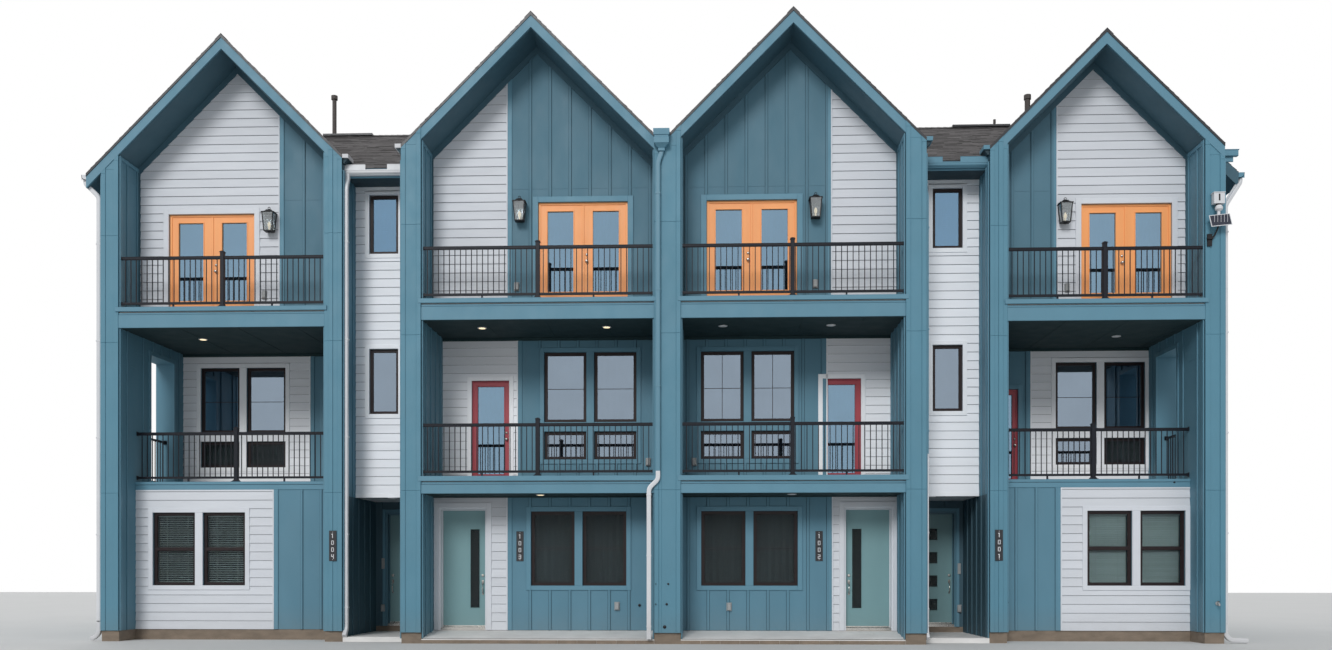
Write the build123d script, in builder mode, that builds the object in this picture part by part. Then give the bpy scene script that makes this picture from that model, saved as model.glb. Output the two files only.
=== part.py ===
"""Row of four three-storey terraced houses with front gables, balconies and entry doors.

Frame: X runs along the street from left to right, Y runs back from the street, Z is up.
The origin is on the ground, at the line where the roofs of the two middle houses meet,
in the plane of their wing fronts. All sizes are in millimetres.
"""

import os
from collections import namedtuple

from build123d import *

# Slabs, floors and roof
GROUND_FLOOR = 220
PORCH_TOP = 100
MIDDLE_FLOOR_DEPTH = 335
TOP_FLOOR_DEPTH = 410
TOP_WALL_HEIGHT = 3060
ROOF_DEPTH = 283

# Wall thicknesses
FRONT_WALL = 200
REAR_WALL = 200
LEFT_SIDE = 360
RIGHT_SIDE = 380
LEFT_WING = 370
RIGHT_WING = 350
PARTY_WALL = 400
PIER_LEFT = 148
PIER_RIGHT = 377

# Clear widths between the walls, from left to right
WIDTH_A = 4290
WIDTH_BAY_LEFT = 1350
WIDTH_B = 4652
WIDTH_C = 4418
WIDTH_BAY_RIGHT = 1355
WIDTH_D = 3890

# Depths from the front of the middle wings
OUTER_FRONT = 500
OUTER_GROUND_WALL = 1180
INNER_GROUND_WALL = 1000
OUTER_MIDDLE_WALL = 3350
INNER_MIDDLE_WALL = 1800
OUTER_TOP_WALL = 1300
INNER_TOP_WALL = 800
BAY_WALL = 1350
PASSAGE_WALL = 2800
REAR = 11000

# Roof edges
LEFT_OVERHANG = 310
RIGHT_OVERHANG = 440
RIGHT_OVERHANG_START = 350
BAY_OVERHANG = 200
BAY_RIDGE_Y = 4600
BAY_ROOF_RISE = 2070
BAY_EAVE_DROP = 70
RAKE_BOARD = 40

# Windows
WINDOW_WIDTH = 910
WINDOW_GAP = 165
GROUND_WINDOW_HEIGHT = 1540
GROUND_WINDOW_DROP = 80
AWNING_RISE = 505
AWNING_HEIGHT = 600
MIDDLE_WINDOW_GAP = 200
MIDDLE_WINDOW_HEIGHT = 1500
MIDDLE_LINTEL = 320
REAR_TOP_RISE = 1030
REAR_TOP_HEIGHT = 1400
BAY_WINDOW_WIDTH = 620
BAY_MIDDLE_RISE = 1435
BAY_MIDDLE_HEIGHT = 1380
BAY_TOP_RISE = 1290
BAY_TOP_HEIGHT = 1250
FRAME_WIDTH = 55
FRAME_DEPTH = 80
FRAME_SETBACK = 40
GLASS_THICKNESS = 20

# Upper doors
FRENCH_WIDTH = 1845
FRENCH_HEIGHT = 2160
BALCONY_DOOR_WIDTH = 810
BALCONY_DOOR_HEIGHT = 2205
STILE = 120
BOTTOM_RAIL = 200

# Entry doors
LEAF_WIDTH = 914
LEAF_HEIGHT = 2440
LEAF_THICKNESS = 45
LEAF_RISE = 60
DOOR_LINTEL = 235
DOOR_GAP = 7
SILL_GAP = 6
JAMB = 38
LITE_WIDTH = 190
LITE_HEIGHT = 1640
LITE_INSET = 140
LITE_BOTTOM = 400
SQUARE_LITE = 250
SQUARE_LITES = 4
SQUARE_LITE_PITCH = 520
SQUARE_LITE_START = 300
HANDLE_HEIGHT = 960
HANDLE_INSET = 70
PIN_OUT = 6
KNUCKLE_RADIUS = 6.6
HINGE_HEIGHT = 100
HINGE_PLATE = 35
HINGE_SHEET = 4
HINGE_RISES = (180, 1170, 2160)

# Railings
RAIL_HEIGHT = 1050
RAIL_SIZE = 45
BOTTOM_RAIL_RISE = 70
BALUSTER = 16
BALUSTER_PITCH = 112
POST = 60
RAIL_SETBACK = 50
SIDE_OPENING_START = 1800
SIDE_OPENING_WIDTH = 1050

# Distances of windows and doors from the nearest wing, for each house
GROUND_WINDOW_EDGES = {"a": 378, "b": 624, "c": 400, "d": 102}
MIDDLE_WINDOW_EDGES = {"a": 422, "b": 464, "c": 390, "d": 82}
FRENCH_EDGES = {"a": 668, "b": 582, "c": 511, "d": 325}
BALCONY_DOOR_EDGES = {"a": 170, "b": 640, "c": 630, "d": 180}
BAY_WINDOW_LEFT = 300
BAY_WINDOW_RIGHT = 390
ENTRY_A_EDGE = 280
ENTRY_B_EDGE = 163
ENTRY_C_EDGE = 123
ENTRY_D_EDGE = 232

# Rainwater
GUTTER_WIDTH = 125
GUTTER_HEIGHT = 110
GUTTER_SHEET = 12
SPOUT_WIDTH = 85
SPOUT_DEPTH = 60

# Wall lines along the row, worked out from the widths
B_RIGHT = -PIER_LEFT
B_LEFT = B_RIGHT - WIDTH_B
B_OUTER = B_LEFT - PARTY_WALL
A_WING = B_OUTER - WIDTH_BAY_LEFT
A_RIGHT = A_WING - LEFT_WING
A_LEFT = A_RIGHT - WIDTH_A
A_OUTER = A_LEFT - LEFT_SIDE
C_LEFT = PIER_RIGHT
C_RIGHT = C_LEFT + WIDTH_C
C_OUTER = C_RIGHT + PARTY_WALL
D_WING = C_OUTER + WIDTH_BAY_RIGHT
D_LEFT = D_WING + RIGHT_WING
D_RIGHT = D_LEFT + WIDTH_D
D_OUTER = D_RIGHT + RIGHT_SIDE

# Heights from the ground, built up from the doors and windows of each storey
LEAF_BOTTOM = GROUND_FLOOR + LEAF_RISE
ENTRY_HEAD = LEAF_BOTTOM + LEAF_HEIGHT + DOOR_GAP + JAMB
GROUND_HEAD = ENTRY_HEAD - GROUND_WINDOW_DROP
GROUND_SILL = GROUND_HEAD - GROUND_WINDOW_HEIGHT
MIDDLE_SOFFIT = ENTRY_HEAD + DOOR_LINTEL
MIDDLE_FLOOR = MIDDLE_SOFFIT + MIDDLE_FLOOR_DEPTH
AWNING_SILL = MIDDLE_FLOOR + AWNING_RISE
AWNING_HEAD = AWNING_SILL + AWNING_HEIGHT
MIDDLE_SILL = AWNING_HEAD + MIDDLE_WINDOW_GAP
MIDDLE_HEAD = MIDDLE_SILL + MIDDLE_WINDOW_HEIGHT
TOP_SOFFIT = MIDDLE_HEAD + MIDDLE_LINTEL
TOP_FLOOR = TOP_SOFFIT + TOP_FLOOR_DEPTH
REAR_TOP_SILL = TOP_FLOOR + REAR_TOP_RISE
REAR_TOP_HEAD = REAR_TOP_SILL + REAR_TOP_HEIGHT
BAY_MIDDLE_SILL = MIDDLE_FLOOR + BAY_MIDDLE_RISE
BAY_TOP_SILL = TOP_FLOOR + BAY_TOP_RISE
EAVE = TOP_FLOOR + TOP_WALL_HEIGHT

House = namedtuple(
    "House",
    "name left right roof_left roof_right front ground middle middle_edge top windows_side",
)

HOUSES = [
    House("a", A_LEFT, A_RIGHT, A_OUTER, A_WING, OUTER_FRONT, OUTER_GROUND_WALL,
          OUTER_MIDDLE_WALL, OUTER_GROUND_WALL, OUTER_TOP_WALL, "left"),
    House("b", B_LEFT, B_RIGHT, B_OUTER, 0, 0, INNER_GROUND_WALL,
          INNER_MIDDLE_WALL, 0, INNER_TOP_WALL, "right"),
    House("c", C_LEFT, C_RIGHT, 0, C_OUTER, 0, INNER_GROUND_WALL,
          INNER_MIDDLE_WALL, 0, INNER_TOP_WALL, "left"),
    House("d", D_LEFT, D_RIGHT, D_WING, D_OUTER, OUTER_FRONT, OUTER_GROUND_WALL,
          OUTER_MIDDLE_WALL, OUTER_GROUND_WALL, OUTER_TOP_WALL, "right"),
]

Bay = namedtuple("Bay", "left right window room_left room_right")

Entry = namedtuple("Entry", "name centre wall lites hinge")

HALF_LEAF = LEAF_WIDTH / 2
ENTRIES = [
    Entry("a", A_WING + ENTRY_A_EDGE + HALF_LEAF, PASSAGE_WALL, "square", 1),
    Entry("b", B_LEFT + ENTRY_B_EDGE + HALF_LEAF, INNER_GROUND_WALL, "slot", -1),
    Entry("c", C_RIGHT - ENTRY_C_EDGE - HALF_LEAF, INNER_GROUND_WALL, "slot", 1),
    Entry("d", C_OUTER + ENTRY_D_EDGE + HALF_LEAF, PASSAGE_WALL, "square", -1),
]

ENTRY_HALF = HALF_LEAF + DOOR_GAP + JAMB
ROOM_BACK = REAR - REAR_WALL
WING_END = OUTER_MIDDLE_WALL + FRONT_WALL


def ridge_x(house):
    """Middle of a house, under its ridge."""
    return (house.roof_left + house.roof_right) / 2


def ridge_z(house):
    """Height of a ridge, with the roof slopes at 45 degrees."""
    return EAVE + (house.roof_right - house.roof_left) / 2


def roof_z(house, x):
    """Height of the outer roof surface of a house at x."""
    return ridge_z(house) - abs(x - ridge_x(house))


def soffit_z(house, x):
    """Height of the underside of the roof of a house at x."""
    return roof_z(house, x) - ROOF_DEPTH


HOUSE_A, HOUSE_B, HOUSE_C, HOUSE_D = HOUSES

BAYS = [
    Bay(A_WING, B_OUTER, A_WING + BAY_WINDOW_LEFT + BAY_WINDOW_WIDTH / 2, A_RIGHT, B_OUTER),
    Bay(C_OUTER, D_WING, C_OUTER + BAY_WINDOW_RIGHT + BAY_WINDOW_WIDTH / 2, C_OUTER, D_LEFT),
]

BAY_EAVE_Y = BAY_WALL - BAY_OVERHANG
BAY_REAR_EAVE_Y = REAR + BAY_OVERHANG
BAY_EAVE_Z = EAVE - BAY_EAVE_DROP
BAY_RIDGE_Z = BAY_EAVE_Z + BAY_ROOF_RISE


def bay_roof_z(y):
    """Height of the outer surface of the bay roofs at depth y."""
    eave_y = BAY_EAVE_Y if y < BAY_RIDGE_Y else BAY_REAR_EAVE_Y
    return BAY_RIDGE_Z - BAY_ROOF_RISE * (y - BAY_RIDGE_Y) / (eave_y - BAY_RIDGE_Y)


def facing_street(y):
    """Plane facing the street at depth y, with X and Z as its axes."""
    return Plane.XZ.offset(-y)


def rectangle(low_x, high_x, low_y, high_y, mode=Mode.ADD):
    """Rectangle between two corners of a sketch."""
    with Locations(((low_x + high_x) / 2, (low_y + high_y) / 2)):
        Rectangle(high_x - low_x, high_y - low_y, mode=mode)


def block(low_x, high_x, low_y, high_y, low_z, high_z):
    """Plain slab or post between two corners."""
    with BuildSketch(Plane.XY.offset(low_z)) as plan:
        rectangle(low_x, high_x, low_y, high_y)
    extrude(plan.sketch, amount=high_z - low_z)


def plan_slab(points, low_z, high_z):
    """Slab with a many-sided plan."""
    with BuildSketch(Plane.XY.offset(low_z)) as plan:
        with BuildLine():
            Polyline(*points, close=True)
        make_face()
    extrude(plan.sketch, amount=high_z - low_z)


def elevation(points, openings, y, depth):
    """Wall drawn as seen from the street, with its openings cut through."""
    with BuildSketch(facing_street(y)) as face:
        with BuildLine():
            Polyline(*points, close=True)
        make_face()
        for low_x, high_x, low_z, high_z in openings:
            rectangle(low_x, high_x, low_z, high_z, mode=Mode.SUBTRACT)
    extrude(face.sketch, amount=depth, dir=(0, 1, 0))


def panel(low_x, high_x, low_z, high_z, openings, y, depth):
    """Rectangular wall seen from the street."""
    corners = [(low_x, low_z), (high_x, low_z), (high_x, high_z), (low_x, high_z)]
    elevation(corners, openings, y, depth)


HALF_PAIR = WINDOW_GAP / 2 + WINDOW_WIDTH


def from_wing(house, edges, half, side):
    """Middle of a window or door whose near edge is a given distance from a wing."""
    if side == "left":
        return house.left + edges[house.name] + half
    return house.right - edges[house.name] - half


def other_side(house):
    """Side of a house where its balcony door stands."""
    return "right" if house.windows_side == "left" else "left"


def pair(centre, sill, head):
    """Two windows side by side."""
    inner = WINDOW_GAP / 2
    outer = inner + WINDOW_WIDTH
    return [
        (centre - outer, centre - inner, sill, head),
        (centre + inner, centre + outer, sill, head),
    ]


def ground_windows(house):
    """Ground-floor windows of a house."""
    centre = from_wing(house, GROUND_WINDOW_EDGES, HALF_PAIR, house.windows_side)
    return pair(centre, GROUND_SILL, GROUND_HEAD)


def middle_windows(house):
    """Windows and the awning windows under them on the middle floor."""
    centre = from_wing(house, MIDDLE_WINDOW_EDGES, HALF_PAIR, house.windows_side)
    upper = pair(centre, MIDDLE_SILL, MIDDLE_HEAD)
    lower = pair(centre, AWNING_SILL, AWNING_HEAD)
    return upper + lower


def bay_windows(bay):
    """The two windows of a bay, one above the other."""
    low_x = bay.window - BAY_WINDOW_WIDTH / 2
    high_x = bay.window + BAY_WINDOW_WIDTH / 2
    return [
        (low_x, high_x, BAY_MIDDLE_SILL, BAY_MIDDLE_SILL + BAY_MIDDLE_HEIGHT),
        (low_x, high_x, BAY_TOP_SILL, BAY_TOP_SILL + BAY_TOP_HEIGHT),
    ]


def rear_windows(house):
    """Three storeys of plain windows at the back of a house."""
    centre = ridge_x(house)
    return (
        pair(centre, GROUND_SILL, GROUND_HEAD)
        + pair(centre, MIDDLE_SILL, MIDDLE_HEAD)
        + pair(centre, REAR_TOP_SILL, REAR_TOP_HEAD)
    )


def bay_rear_windows(bay):
    """Three storeys of narrow windows at the back of a bay."""
    middle = (bay.left + bay.right) / 2
    low_x = middle - BAY_WINDOW_WIDTH / 2
    high_x = middle + BAY_WINDOW_WIDTH / 2
    return [
        (low_x, high_x, GROUND_SILL, GROUND_HEAD),
        (low_x, high_x, MIDDLE_SILL, MIDDLE_HEAD),
        (low_x, high_x, REAR_TOP_SILL, REAR_TOP_HEAD),
    ]


def french_opening(house):
    """Opening of the double doors on the top balcony."""
    half = FRENCH_WIDTH / 2
    centre = from_wing(house, FRENCH_EDGES, half, house.windows_side)
    return (centre - half, centre + half, TOP_FLOOR, TOP_FLOOR + FRENCH_HEIGHT)


def balcony_opening(house):
    """Opening of the single door on the middle balcony."""
    half = BALCONY_DOOR_WIDTH / 2
    centre = from_wing(house, BALCONY_DOOR_EDGES, half, other_side(house))
    return (centre - half, centre + half, MIDDLE_FLOOR, MIDDLE_FLOOR + BALCONY_DOOR_HEIGHT)


# Ground slab with the plinth that the walls stand on
with BuildPart() as foundation:
    plan_slab(
        [
            (A_OUTER, OUTER_FRONT),
            (A_LEFT, OUTER_FRONT),
            (A_LEFT, OUTER_GROUND_WALL),
            (A_RIGHT, OUTER_GROUND_WALL),
            (A_RIGHT, OUTER_FRONT),
            (A_WING, OUTER_FRONT),
            (A_WING, PASSAGE_WALL),
            (B_OUTER, PASSAGE_WALL),
            (B_OUTER, 0),
            (B_LEFT, 0),
            (B_LEFT, INNER_GROUND_WALL),
            (B_RIGHT, INNER_GROUND_WALL),
            (B_RIGHT, 0),
            (C_LEFT, 0),
            (C_LEFT, INNER_GROUND_WALL),
            (C_RIGHT, INNER_GROUND_WALL),
            (C_RIGHT, 0),
            (C_OUTER, 0),
            (C_OUTER, PASSAGE_WALL),
            (D_WING, PASSAGE_WALL),
            (D_WING, OUTER_FRONT),
            (D_LEFT, OUTER_FRONT),
            (D_LEFT, OUTER_GROUND_WALL),
            (D_RIGHT, OUTER_GROUND_WALL),
            (D_RIGHT, OUTER_FRONT),
            (D_OUTER, OUTER_FRONT),
            (D_OUTER, REAR),
            (A_OUTER, REAR),
        ],
        0,
        GROUND_FLOOR,
    )

# Lower slabs of the two porches and the two passages
with BuildPart() as porch_slabs:
    block(B_LEFT, B_RIGHT, 0, INNER_GROUND_WALL, 0, PORCH_TOP)
    block(C_LEFT, C_RIGHT, 0, INNER_GROUND_WALL, 0, PORCH_TOP)
    block(A_WING, B_OUTER, OUTER_FRONT, PASSAGE_WALL, 0, PORCH_TOP)
    block(C_OUTER, D_WING, OUTER_FRONT, PASSAGE_WALL, 0, PORCH_TOP)

# Upper floors, whose front strips are the balcony decks
with BuildPart() as middle_floors:
    for house in HOUSES:
        block(house.left, house.right, house.middle_edge, ROOM_BACK, MIDDLE_SOFFIT, MIDDLE_FLOOR)

with BuildPart() as top_floors:
    for house in HOUSES:
        block(house.left, house.right, house.front, ROOM_BACK, TOP_SOFFIT, TOP_FLOOR)

with BuildPart() as bay_floors:
    for low_z, high_z in [(MIDDLE_SOFFIT, MIDDLE_FLOOR), (TOP_SOFFIT, TOP_FLOOR)]:
        for bay in BAYS:
            front = BAY_WALL + FRONT_WALL
            points = [(bay.left, front), (bay.right, front)]
            if bay.room_right > bay.right:
                points += [(bay.right, WING_END), (bay.room_right, WING_END)]
            points += [(bay.room_right, ROOM_BACK), (bay.room_left, ROOM_BACK)]
            if bay.room_left < bay.left:
                points += [(bay.room_left, WING_END), (bay.left, WING_END)]
            plan_slab(points, low_z, high_z)


def upright_wall(low_x, high_x, tops, front, back):
    """Wall that runs from front to back, cut to the roof slopes at its top."""
    points = [(low_x, GROUND_FLOOR), (high_x, GROUND_FLOOR)] + tops
    elevation(points, [], front, back - front)


def side_opening(low_x, high_x):
    """Opening beside a middle balcony, through an end wall."""
    with BuildSketch(Plane.YZ.offset(low_x)) as face:
        rectangle(SIDE_OPENING_START, SIDE_OPENING_START + SIDE_OPENING_WIDTH,
                  MIDDLE_FLOOR, MIDDLE_HEAD)
    extrude(face.sketch, amount=high_x - low_x, dir=(1, 0, 0), mode=Mode.SUBTRACT)


# End walls of the row, with an opening at the middle balcony
with BuildPart() as left_side_wall:
    upright_wall(A_OUTER, A_LEFT,
                 [(A_LEFT, soffit_z(HOUSE_A, A_LEFT)), (A_OUTER, soffit_z(HOUSE_A, A_OUTER))],
                 OUTER_FRONT, REAR)
    side_opening(A_OUTER, A_LEFT)

with BuildPart() as right_side_wall:
    upright_wall(D_RIGHT, D_OUTER,
                 [(D_OUTER, soffit_z(HOUSE_D, D_OUTER)), (D_RIGHT, soffit_z(HOUSE_D, D_RIGHT))],
                 OUTER_FRONT, REAR)
    side_opening(D_RIGHT, D_OUTER)

# Party walls, each with the wing that closes its balconies
with BuildPart() as left_party_wall:
    upright_wall(B_OUTER, B_LEFT,
                 [(B_LEFT, soffit_z(HOUSE_B, B_LEFT)), (B_OUTER, soffit_z(HOUSE_B, B_OUTER))],
                 0, REAR)

with BuildPart() as middle_party_wall:
    upright_wall(B_RIGHT, C_LEFT,
                 [(C_LEFT, soffit_z(HOUSE_C, C_LEFT)),
                  (0, soffit_z(HOUSE_C, 0)),
                  (B_RIGHT, soffit_z(HOUSE_B, B_RIGHT))],
                 0, REAR)

with BuildPart() as right_party_wall:
    upright_wall(C_RIGHT, C_OUTER,
                 [(C_OUTER, soffit_z(HOUSE_C, C_OUTER)), (C_RIGHT, soffit_z(HOUSE_C, C_RIGHT))],
                 0, REAR)

# Short wing walls between the outer houses and their passages
with BuildPart() as wing_walls:
    upright_wall(A_RIGHT, A_WING,
                 [(A_WING, soffit_z(HOUSE_A, A_WING)), (A_RIGHT, soffit_z(HOUSE_A, A_RIGHT))],
                 OUTER_FRONT, WING_END)
    upright_wall(D_WING, D_LEFT,
                 [(D_LEFT, soffit_z(HOUSE_D, D_LEFT)), (D_WING, soffit_z(HOUSE_D, D_WING))],
                 OUTER_FRONT, WING_END)

# Ground-floor fronts, split beside and over the doorways
with BuildPart() as ground_front_walls:
    entry_b = ENTRIES[1]
    entry_c = ENTRIES[2]
    for house in (HOUSE_A, HOUSE_D):
        panel(house.left, house.right, GROUND_FLOOR, MIDDLE_SOFFIT, ground_windows(house),
              house.ground, FRONT_WALL)
    panel(B_LEFT, entry_b.centre - ENTRY_HALF, GROUND_FLOOR, MIDDLE_SOFFIT, [],
          INNER_GROUND_WALL, FRONT_WALL)
    panel(entry_b.centre + ENTRY_HALF, B_RIGHT, GROUND_FLOOR, MIDDLE_SOFFIT,
          ground_windows(HOUSE_B), INNER_GROUND_WALL, FRONT_WALL)
    panel(C_LEFT, entry_c.centre - ENTRY_HALF, GROUND_FLOOR, MIDDLE_SOFFIT,
          ground_windows(HOUSE_C), INNER_GROUND_WALL, FRONT_WALL)
    panel(entry_c.centre + ENTRY_HALF, C_RIGHT, GROUND_FLOOR, MIDDLE_SOFFIT, [],
          INNER_GROUND_WALL, FRONT_WALL)

with BuildPart() as passage_walls:
    for entry, low_x, high_x in ((ENTRIES[0], A_WING, B_OUTER), (ENTRIES[3], C_OUTER, D_WING)):
        panel(low_x, entry.centre - ENTRY_HALF, GROUND_FLOOR, MIDDLE_SOFFIT, [],
              PASSAGE_WALL, FRONT_WALL)
        panel(entry.centre + ENTRY_HALF, high_x, GROUND_FLOOR, MIDDLE_SOFFIT, [],
              PASSAGE_WALL, FRONT_WALL)

with BuildPart() as wall_over_doors:
    for entry in ENTRIES:
        panel(entry.centre - ENTRY_HALF, entry.centre + ENTRY_HALF, ENTRY_HEAD, MIDDLE_SOFFIT,
              [], entry.wall, FRONT_WALL)

# Ceilings of the passages, under the bays
with BuildPart() as passage_ceilings:
    for bay in BAYS:
        block(bay.left, bay.right, BAY_WALL, BAY_WALL + FRONT_WALL, MIDDLE_SOFFIT, MIDDLE_FLOOR)

# Middle-floor and top-floor fronts behind the balconies
with BuildPart() as middle_front_walls:
    for house in HOUSES:
        panel(house.left, house.right, MIDDLE_FLOOR, TOP_SOFFIT,
              middle_windows(house) + [balcony_opening(house)], house.middle, FRONT_WALL)

with BuildPart() as top_front_walls:
    for house in HOUSES:
        gable = [
            (house.left, TOP_FLOOR),
            (house.right, TOP_FLOOR),
            (house.right, soffit_z(house, house.right)),
            (ridge_x(house), soffit_z(house, ridge_x(house))),
            (house.left, soffit_z(house, house.left)),
        ]
        elevation(gable, [french_opening(house)], house.top, FRONT_WALL)


def bay_soffit_z(y):
    """Height of the underside of the bay roofs at depth y."""
    return bay_roof_z(y) - ROOF_DEPTH


# Narrow bays above the passages
with BuildPart() as bay_walls:
    for bay in BAYS:
        inner = BAY_WALL + FRONT_WALL
        with BuildSketch(Plane.YZ.offset(bay.left)) as section:
            with BuildLine():
                Polyline(
                    (BAY_WALL, MIDDLE_FLOOR),
                    (inner, MIDDLE_FLOOR),
                    (inner, bay_soffit_z(inner)),
                    (BAY_WALL, bay_soffit_z(BAY_WALL)),
                    close=True,
                )
            make_face()
        extrude(section.sketch, amount=bay.right - bay.left, dir=(1, 0, 0))
        with BuildSketch(facing_street(BAY_WALL)) as holes:
            for low_x, high_x, low_z, high_z in bay_windows(bay):
                rectangle(low_x, high_x, low_z, high_z)
        extrude(holes.sketch, amount=FRONT_WALL, dir=(0, 1, 0), mode=Mode.SUBTRACT)

# Rear walls from the slab to the roof
with BuildPart() as rear_walls:
    bay_left, bay_right = BAYS
    elevation(
        [
            (A_LEFT, GROUND_FLOOR),
            (B_OUTER, GROUND_FLOOR),
            (B_OUTER, bay_soffit_z(REAR)),
            (A_WING, bay_soffit_z(REAR)),
            (A_WING, soffit_z(HOUSE_A, A_WING)),
            (ridge_x(HOUSE_A), soffit_z(HOUSE_A, ridge_x(HOUSE_A))),
            (A_LEFT, soffit_z(HOUSE_A, A_LEFT)),
        ],
        rear_windows(HOUSE_A) + bay_rear_windows(bay_left),
        ROOM_BACK, REAR_WALL,
    )
    for house in (HOUSE_B, HOUSE_C):
        elevation(
            [
                (house.left, GROUND_FLOOR),
                (house.right, GROUND_FLOOR),
                (house.right, soffit_z(house, house.right)),
                (ridge_x(house), soffit_z(house, ridge_x(house))),
                (house.left, soffit_z(house, house.left)),
            ],
            rear_windows(house),
            ROOM_BACK, REAR_WALL,
        )
    elevation(
        [
            (C_OUTER, GROUND_FLOOR),
            (D_RIGHT, GROUND_FLOOR),
            (D_RIGHT, soffit_z(HOUSE_D, D_RIGHT)),
            (ridge_x(HOUSE_D), soffit_z(HOUSE_D, ridge_x(HOUSE_D))),
            (D_WING, soffit_z(HOUSE_D, D_WING)),
            (D_WING, bay_soffit_z(REAR)),
            (C_OUTER, bay_soffit_z(REAR)),
        ],
        rear_windows(HOUSE_D) + bay_rear_windows(bay_right),
        ROOM_BACK, REAR_WALL,
    )


def slope_profile(house, tip_x, depth):
    """Corners of one roof slope seen from the street, from the ridge to its plumb-cut tip."""
    middle = ridge_x(house)
    return [
        (middle, ridge_z(house)),
        (tip_x, roof_z(house, tip_x)),
        (tip_x, roof_z(house, tip_x) - depth),
        (middle, ridge_z(house) - depth),
    ]


# Roof slopes of the houses, mitred at the ridges
with BuildPart() as left_roof_slopes:
    for house in HOUSES:
        tip = house.roof_left
        if house is HOUSE_A:
            tip -= LEFT_OVERHANG
        elevation(slope_profile(house, tip, ROOF_DEPTH), [], house.front, REAR - house.front)

with BuildPart() as right_roof_slopes:
    for house in HOUSES:
        elevation(slope_profile(house, house.roof_right, ROOF_DEPTH), [], house.front,
                  REAR - house.front)
    eave_tip = D_OUTER + RIGHT_OVERHANG
    elevation(slope_profile(HOUSE_D, eave_tip, ROOF_DEPTH), [],
              OUTER_FRONT + RIGHT_OVERHANG_START, REAR - OUTER_FRONT - RIGHT_OVERHANG_START)

# Boards along the gable edges, front and back
with BuildPart() as left_rake_boards:
    for house in HOUSES:
        tip = house.roof_left
        if house is HOUSE_A:
            tip -= LEFT_OVERHANG
        for y in (house.front - RAKE_BOARD, REAR):
            elevation(slope_profile(house, tip, ROOF_DEPTH), [], y, RAKE_BOARD)

with BuildPart() as right_rake_boards:
    for house in HOUSES:
        for y in (house.front - RAKE_BOARD, REAR):
            elevation(slope_profile(house, house.roof_right, ROOF_DEPTH), [], y, RAKE_BOARD)


def bay_slope(bay, left_house, right_house, eave_y):
    """One slope of a bay roof, trimmed to the slopes of the houses on both sides."""
    ridge_depth = bay_roof_z(BAY_RIDGE_Y)
    with BuildSketch(Plane.YZ.offset(ridge_x(left_house))) as section:
        with BuildLine():
            Polyline(
                (eave_y, bay_roof_z(eave_y)),
                (BAY_RIDGE_Y, ridge_depth),
                (BAY_RIDGE_Y, ridge_depth - ROOF_DEPTH),
                (eave_y, bay_roof_z(eave_y) - ROOF_DEPTH),
                close=True,
            )
        make_face()
    extrude(section.sketch, amount=ridge_x(right_house) - ridge_x(left_house), dir=(1, 0, 0))
    reach = (bay.right - bay.left) / 2
    for house, edge, side in ((left_house, bay.left, 1), (right_house, bay.right, -1)):
        with BuildSketch(facing_street(0)) as waste:
            with BuildLine():
                Polyline(
                    (ridge_x(house), ridge_z(house)),
                    (edge + side * reach, roof_z(house, edge + side * reach)),
                    (ridge_x(house), roof_z(house, edge + side * reach)),
                    close=True,
                )
            make_face()
        extrude(waste.sketch, amount=BAY_REAR_EAVE_Y, dir=(0, 1, 0), mode=Mode.SUBTRACT)


# Bay roofs with a ridge along the row
with BuildPart() as bay_roof_fronts:
    bay_slope(BAYS[0], HOUSE_A, HOUSE_B, BAY_EAVE_Y)
    bay_slope(BAYS[1], HOUSE_C, HOUSE_D, BAY_EAVE_Y)

with BuildPart() as bay_roof_backs:
    bay_slope(BAYS[0], HOUSE_A, HOUSE_B, BAY_REAR_EAVE_Y)
    bay_slope(BAYS[1], HOUSE_C, HOUSE_D, BAY_REAR_EAVE_Y)


def window_frame(opening, wall_y, rail_z=None):
    """Window frame set back in its opening, with an optional rail across."""
    low_x, high_x, low_z, high_z = opening
    with BuildSketch(facing_street(wall_y + FRAME_SETBACK)) as face:
        rectangle(low_x, high_x, low_z, high_z)
        rectangle(low_x + FRAME_WIDTH, high_x - FRAME_WIDTH,
                  low_z + FRAME_WIDTH, high_z - FRAME_WIDTH, mode=Mode.SUBTRACT)
        if rail_z is not None:
            rectangle(low_x, high_x, rail_z - FRAME_WIDTH / 2, rail_z + FRAME_WIDTH / 2)
    extrude(face.sketch, amount=FRAME_DEPTH, dir=(0, 1, 0))


def window_glass(opening, wall_y, rail_z=None):
    """Panes of a window, seated in its frame."""
    low_x, high_x, low_z, high_z = opening
    glass_y = wall_y + FRAME_SETBACK + (FRAME_DEPTH - GLASS_THICKNESS) / 2
    with BuildSketch(facing_street(glass_y)) as face:
        rectangle(low_x + FRAME_WIDTH, high_x - FRAME_WIDTH,
                  low_z + FRAME_WIDTH, high_z - FRAME_WIDTH)
        if rail_z is not None:
            rectangle(low_x, high_x, rail_z - FRAME_WIDTH / 2, rail_z + FRAME_WIDTH / 2,
                      mode=Mode.SUBTRACT)
    extrude(face.sketch, amount=GLASS_THICKNESS, dir=(0, 1, 0))


MEETING_RAIL = (GROUND_SILL + GROUND_HEAD) / 2


def front_windows():
    """Every street window as its opening, its wall plane and its meeting rail, if any."""
    windows = []
    for house in HOUSES:
        rail_z = MEETING_RAIL if house in (HOUSE_A, HOUSE_D) else None
        windows += [(opening, house.ground, rail_z) for opening in ground_windows(house)]
        windows += [(opening, house.middle, None) for opening in middle_windows(house)]
    for bay in BAYS:
        windows += [(opening, BAY_WALL, None) for opening in bay_windows(bay)]
    return windows


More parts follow.
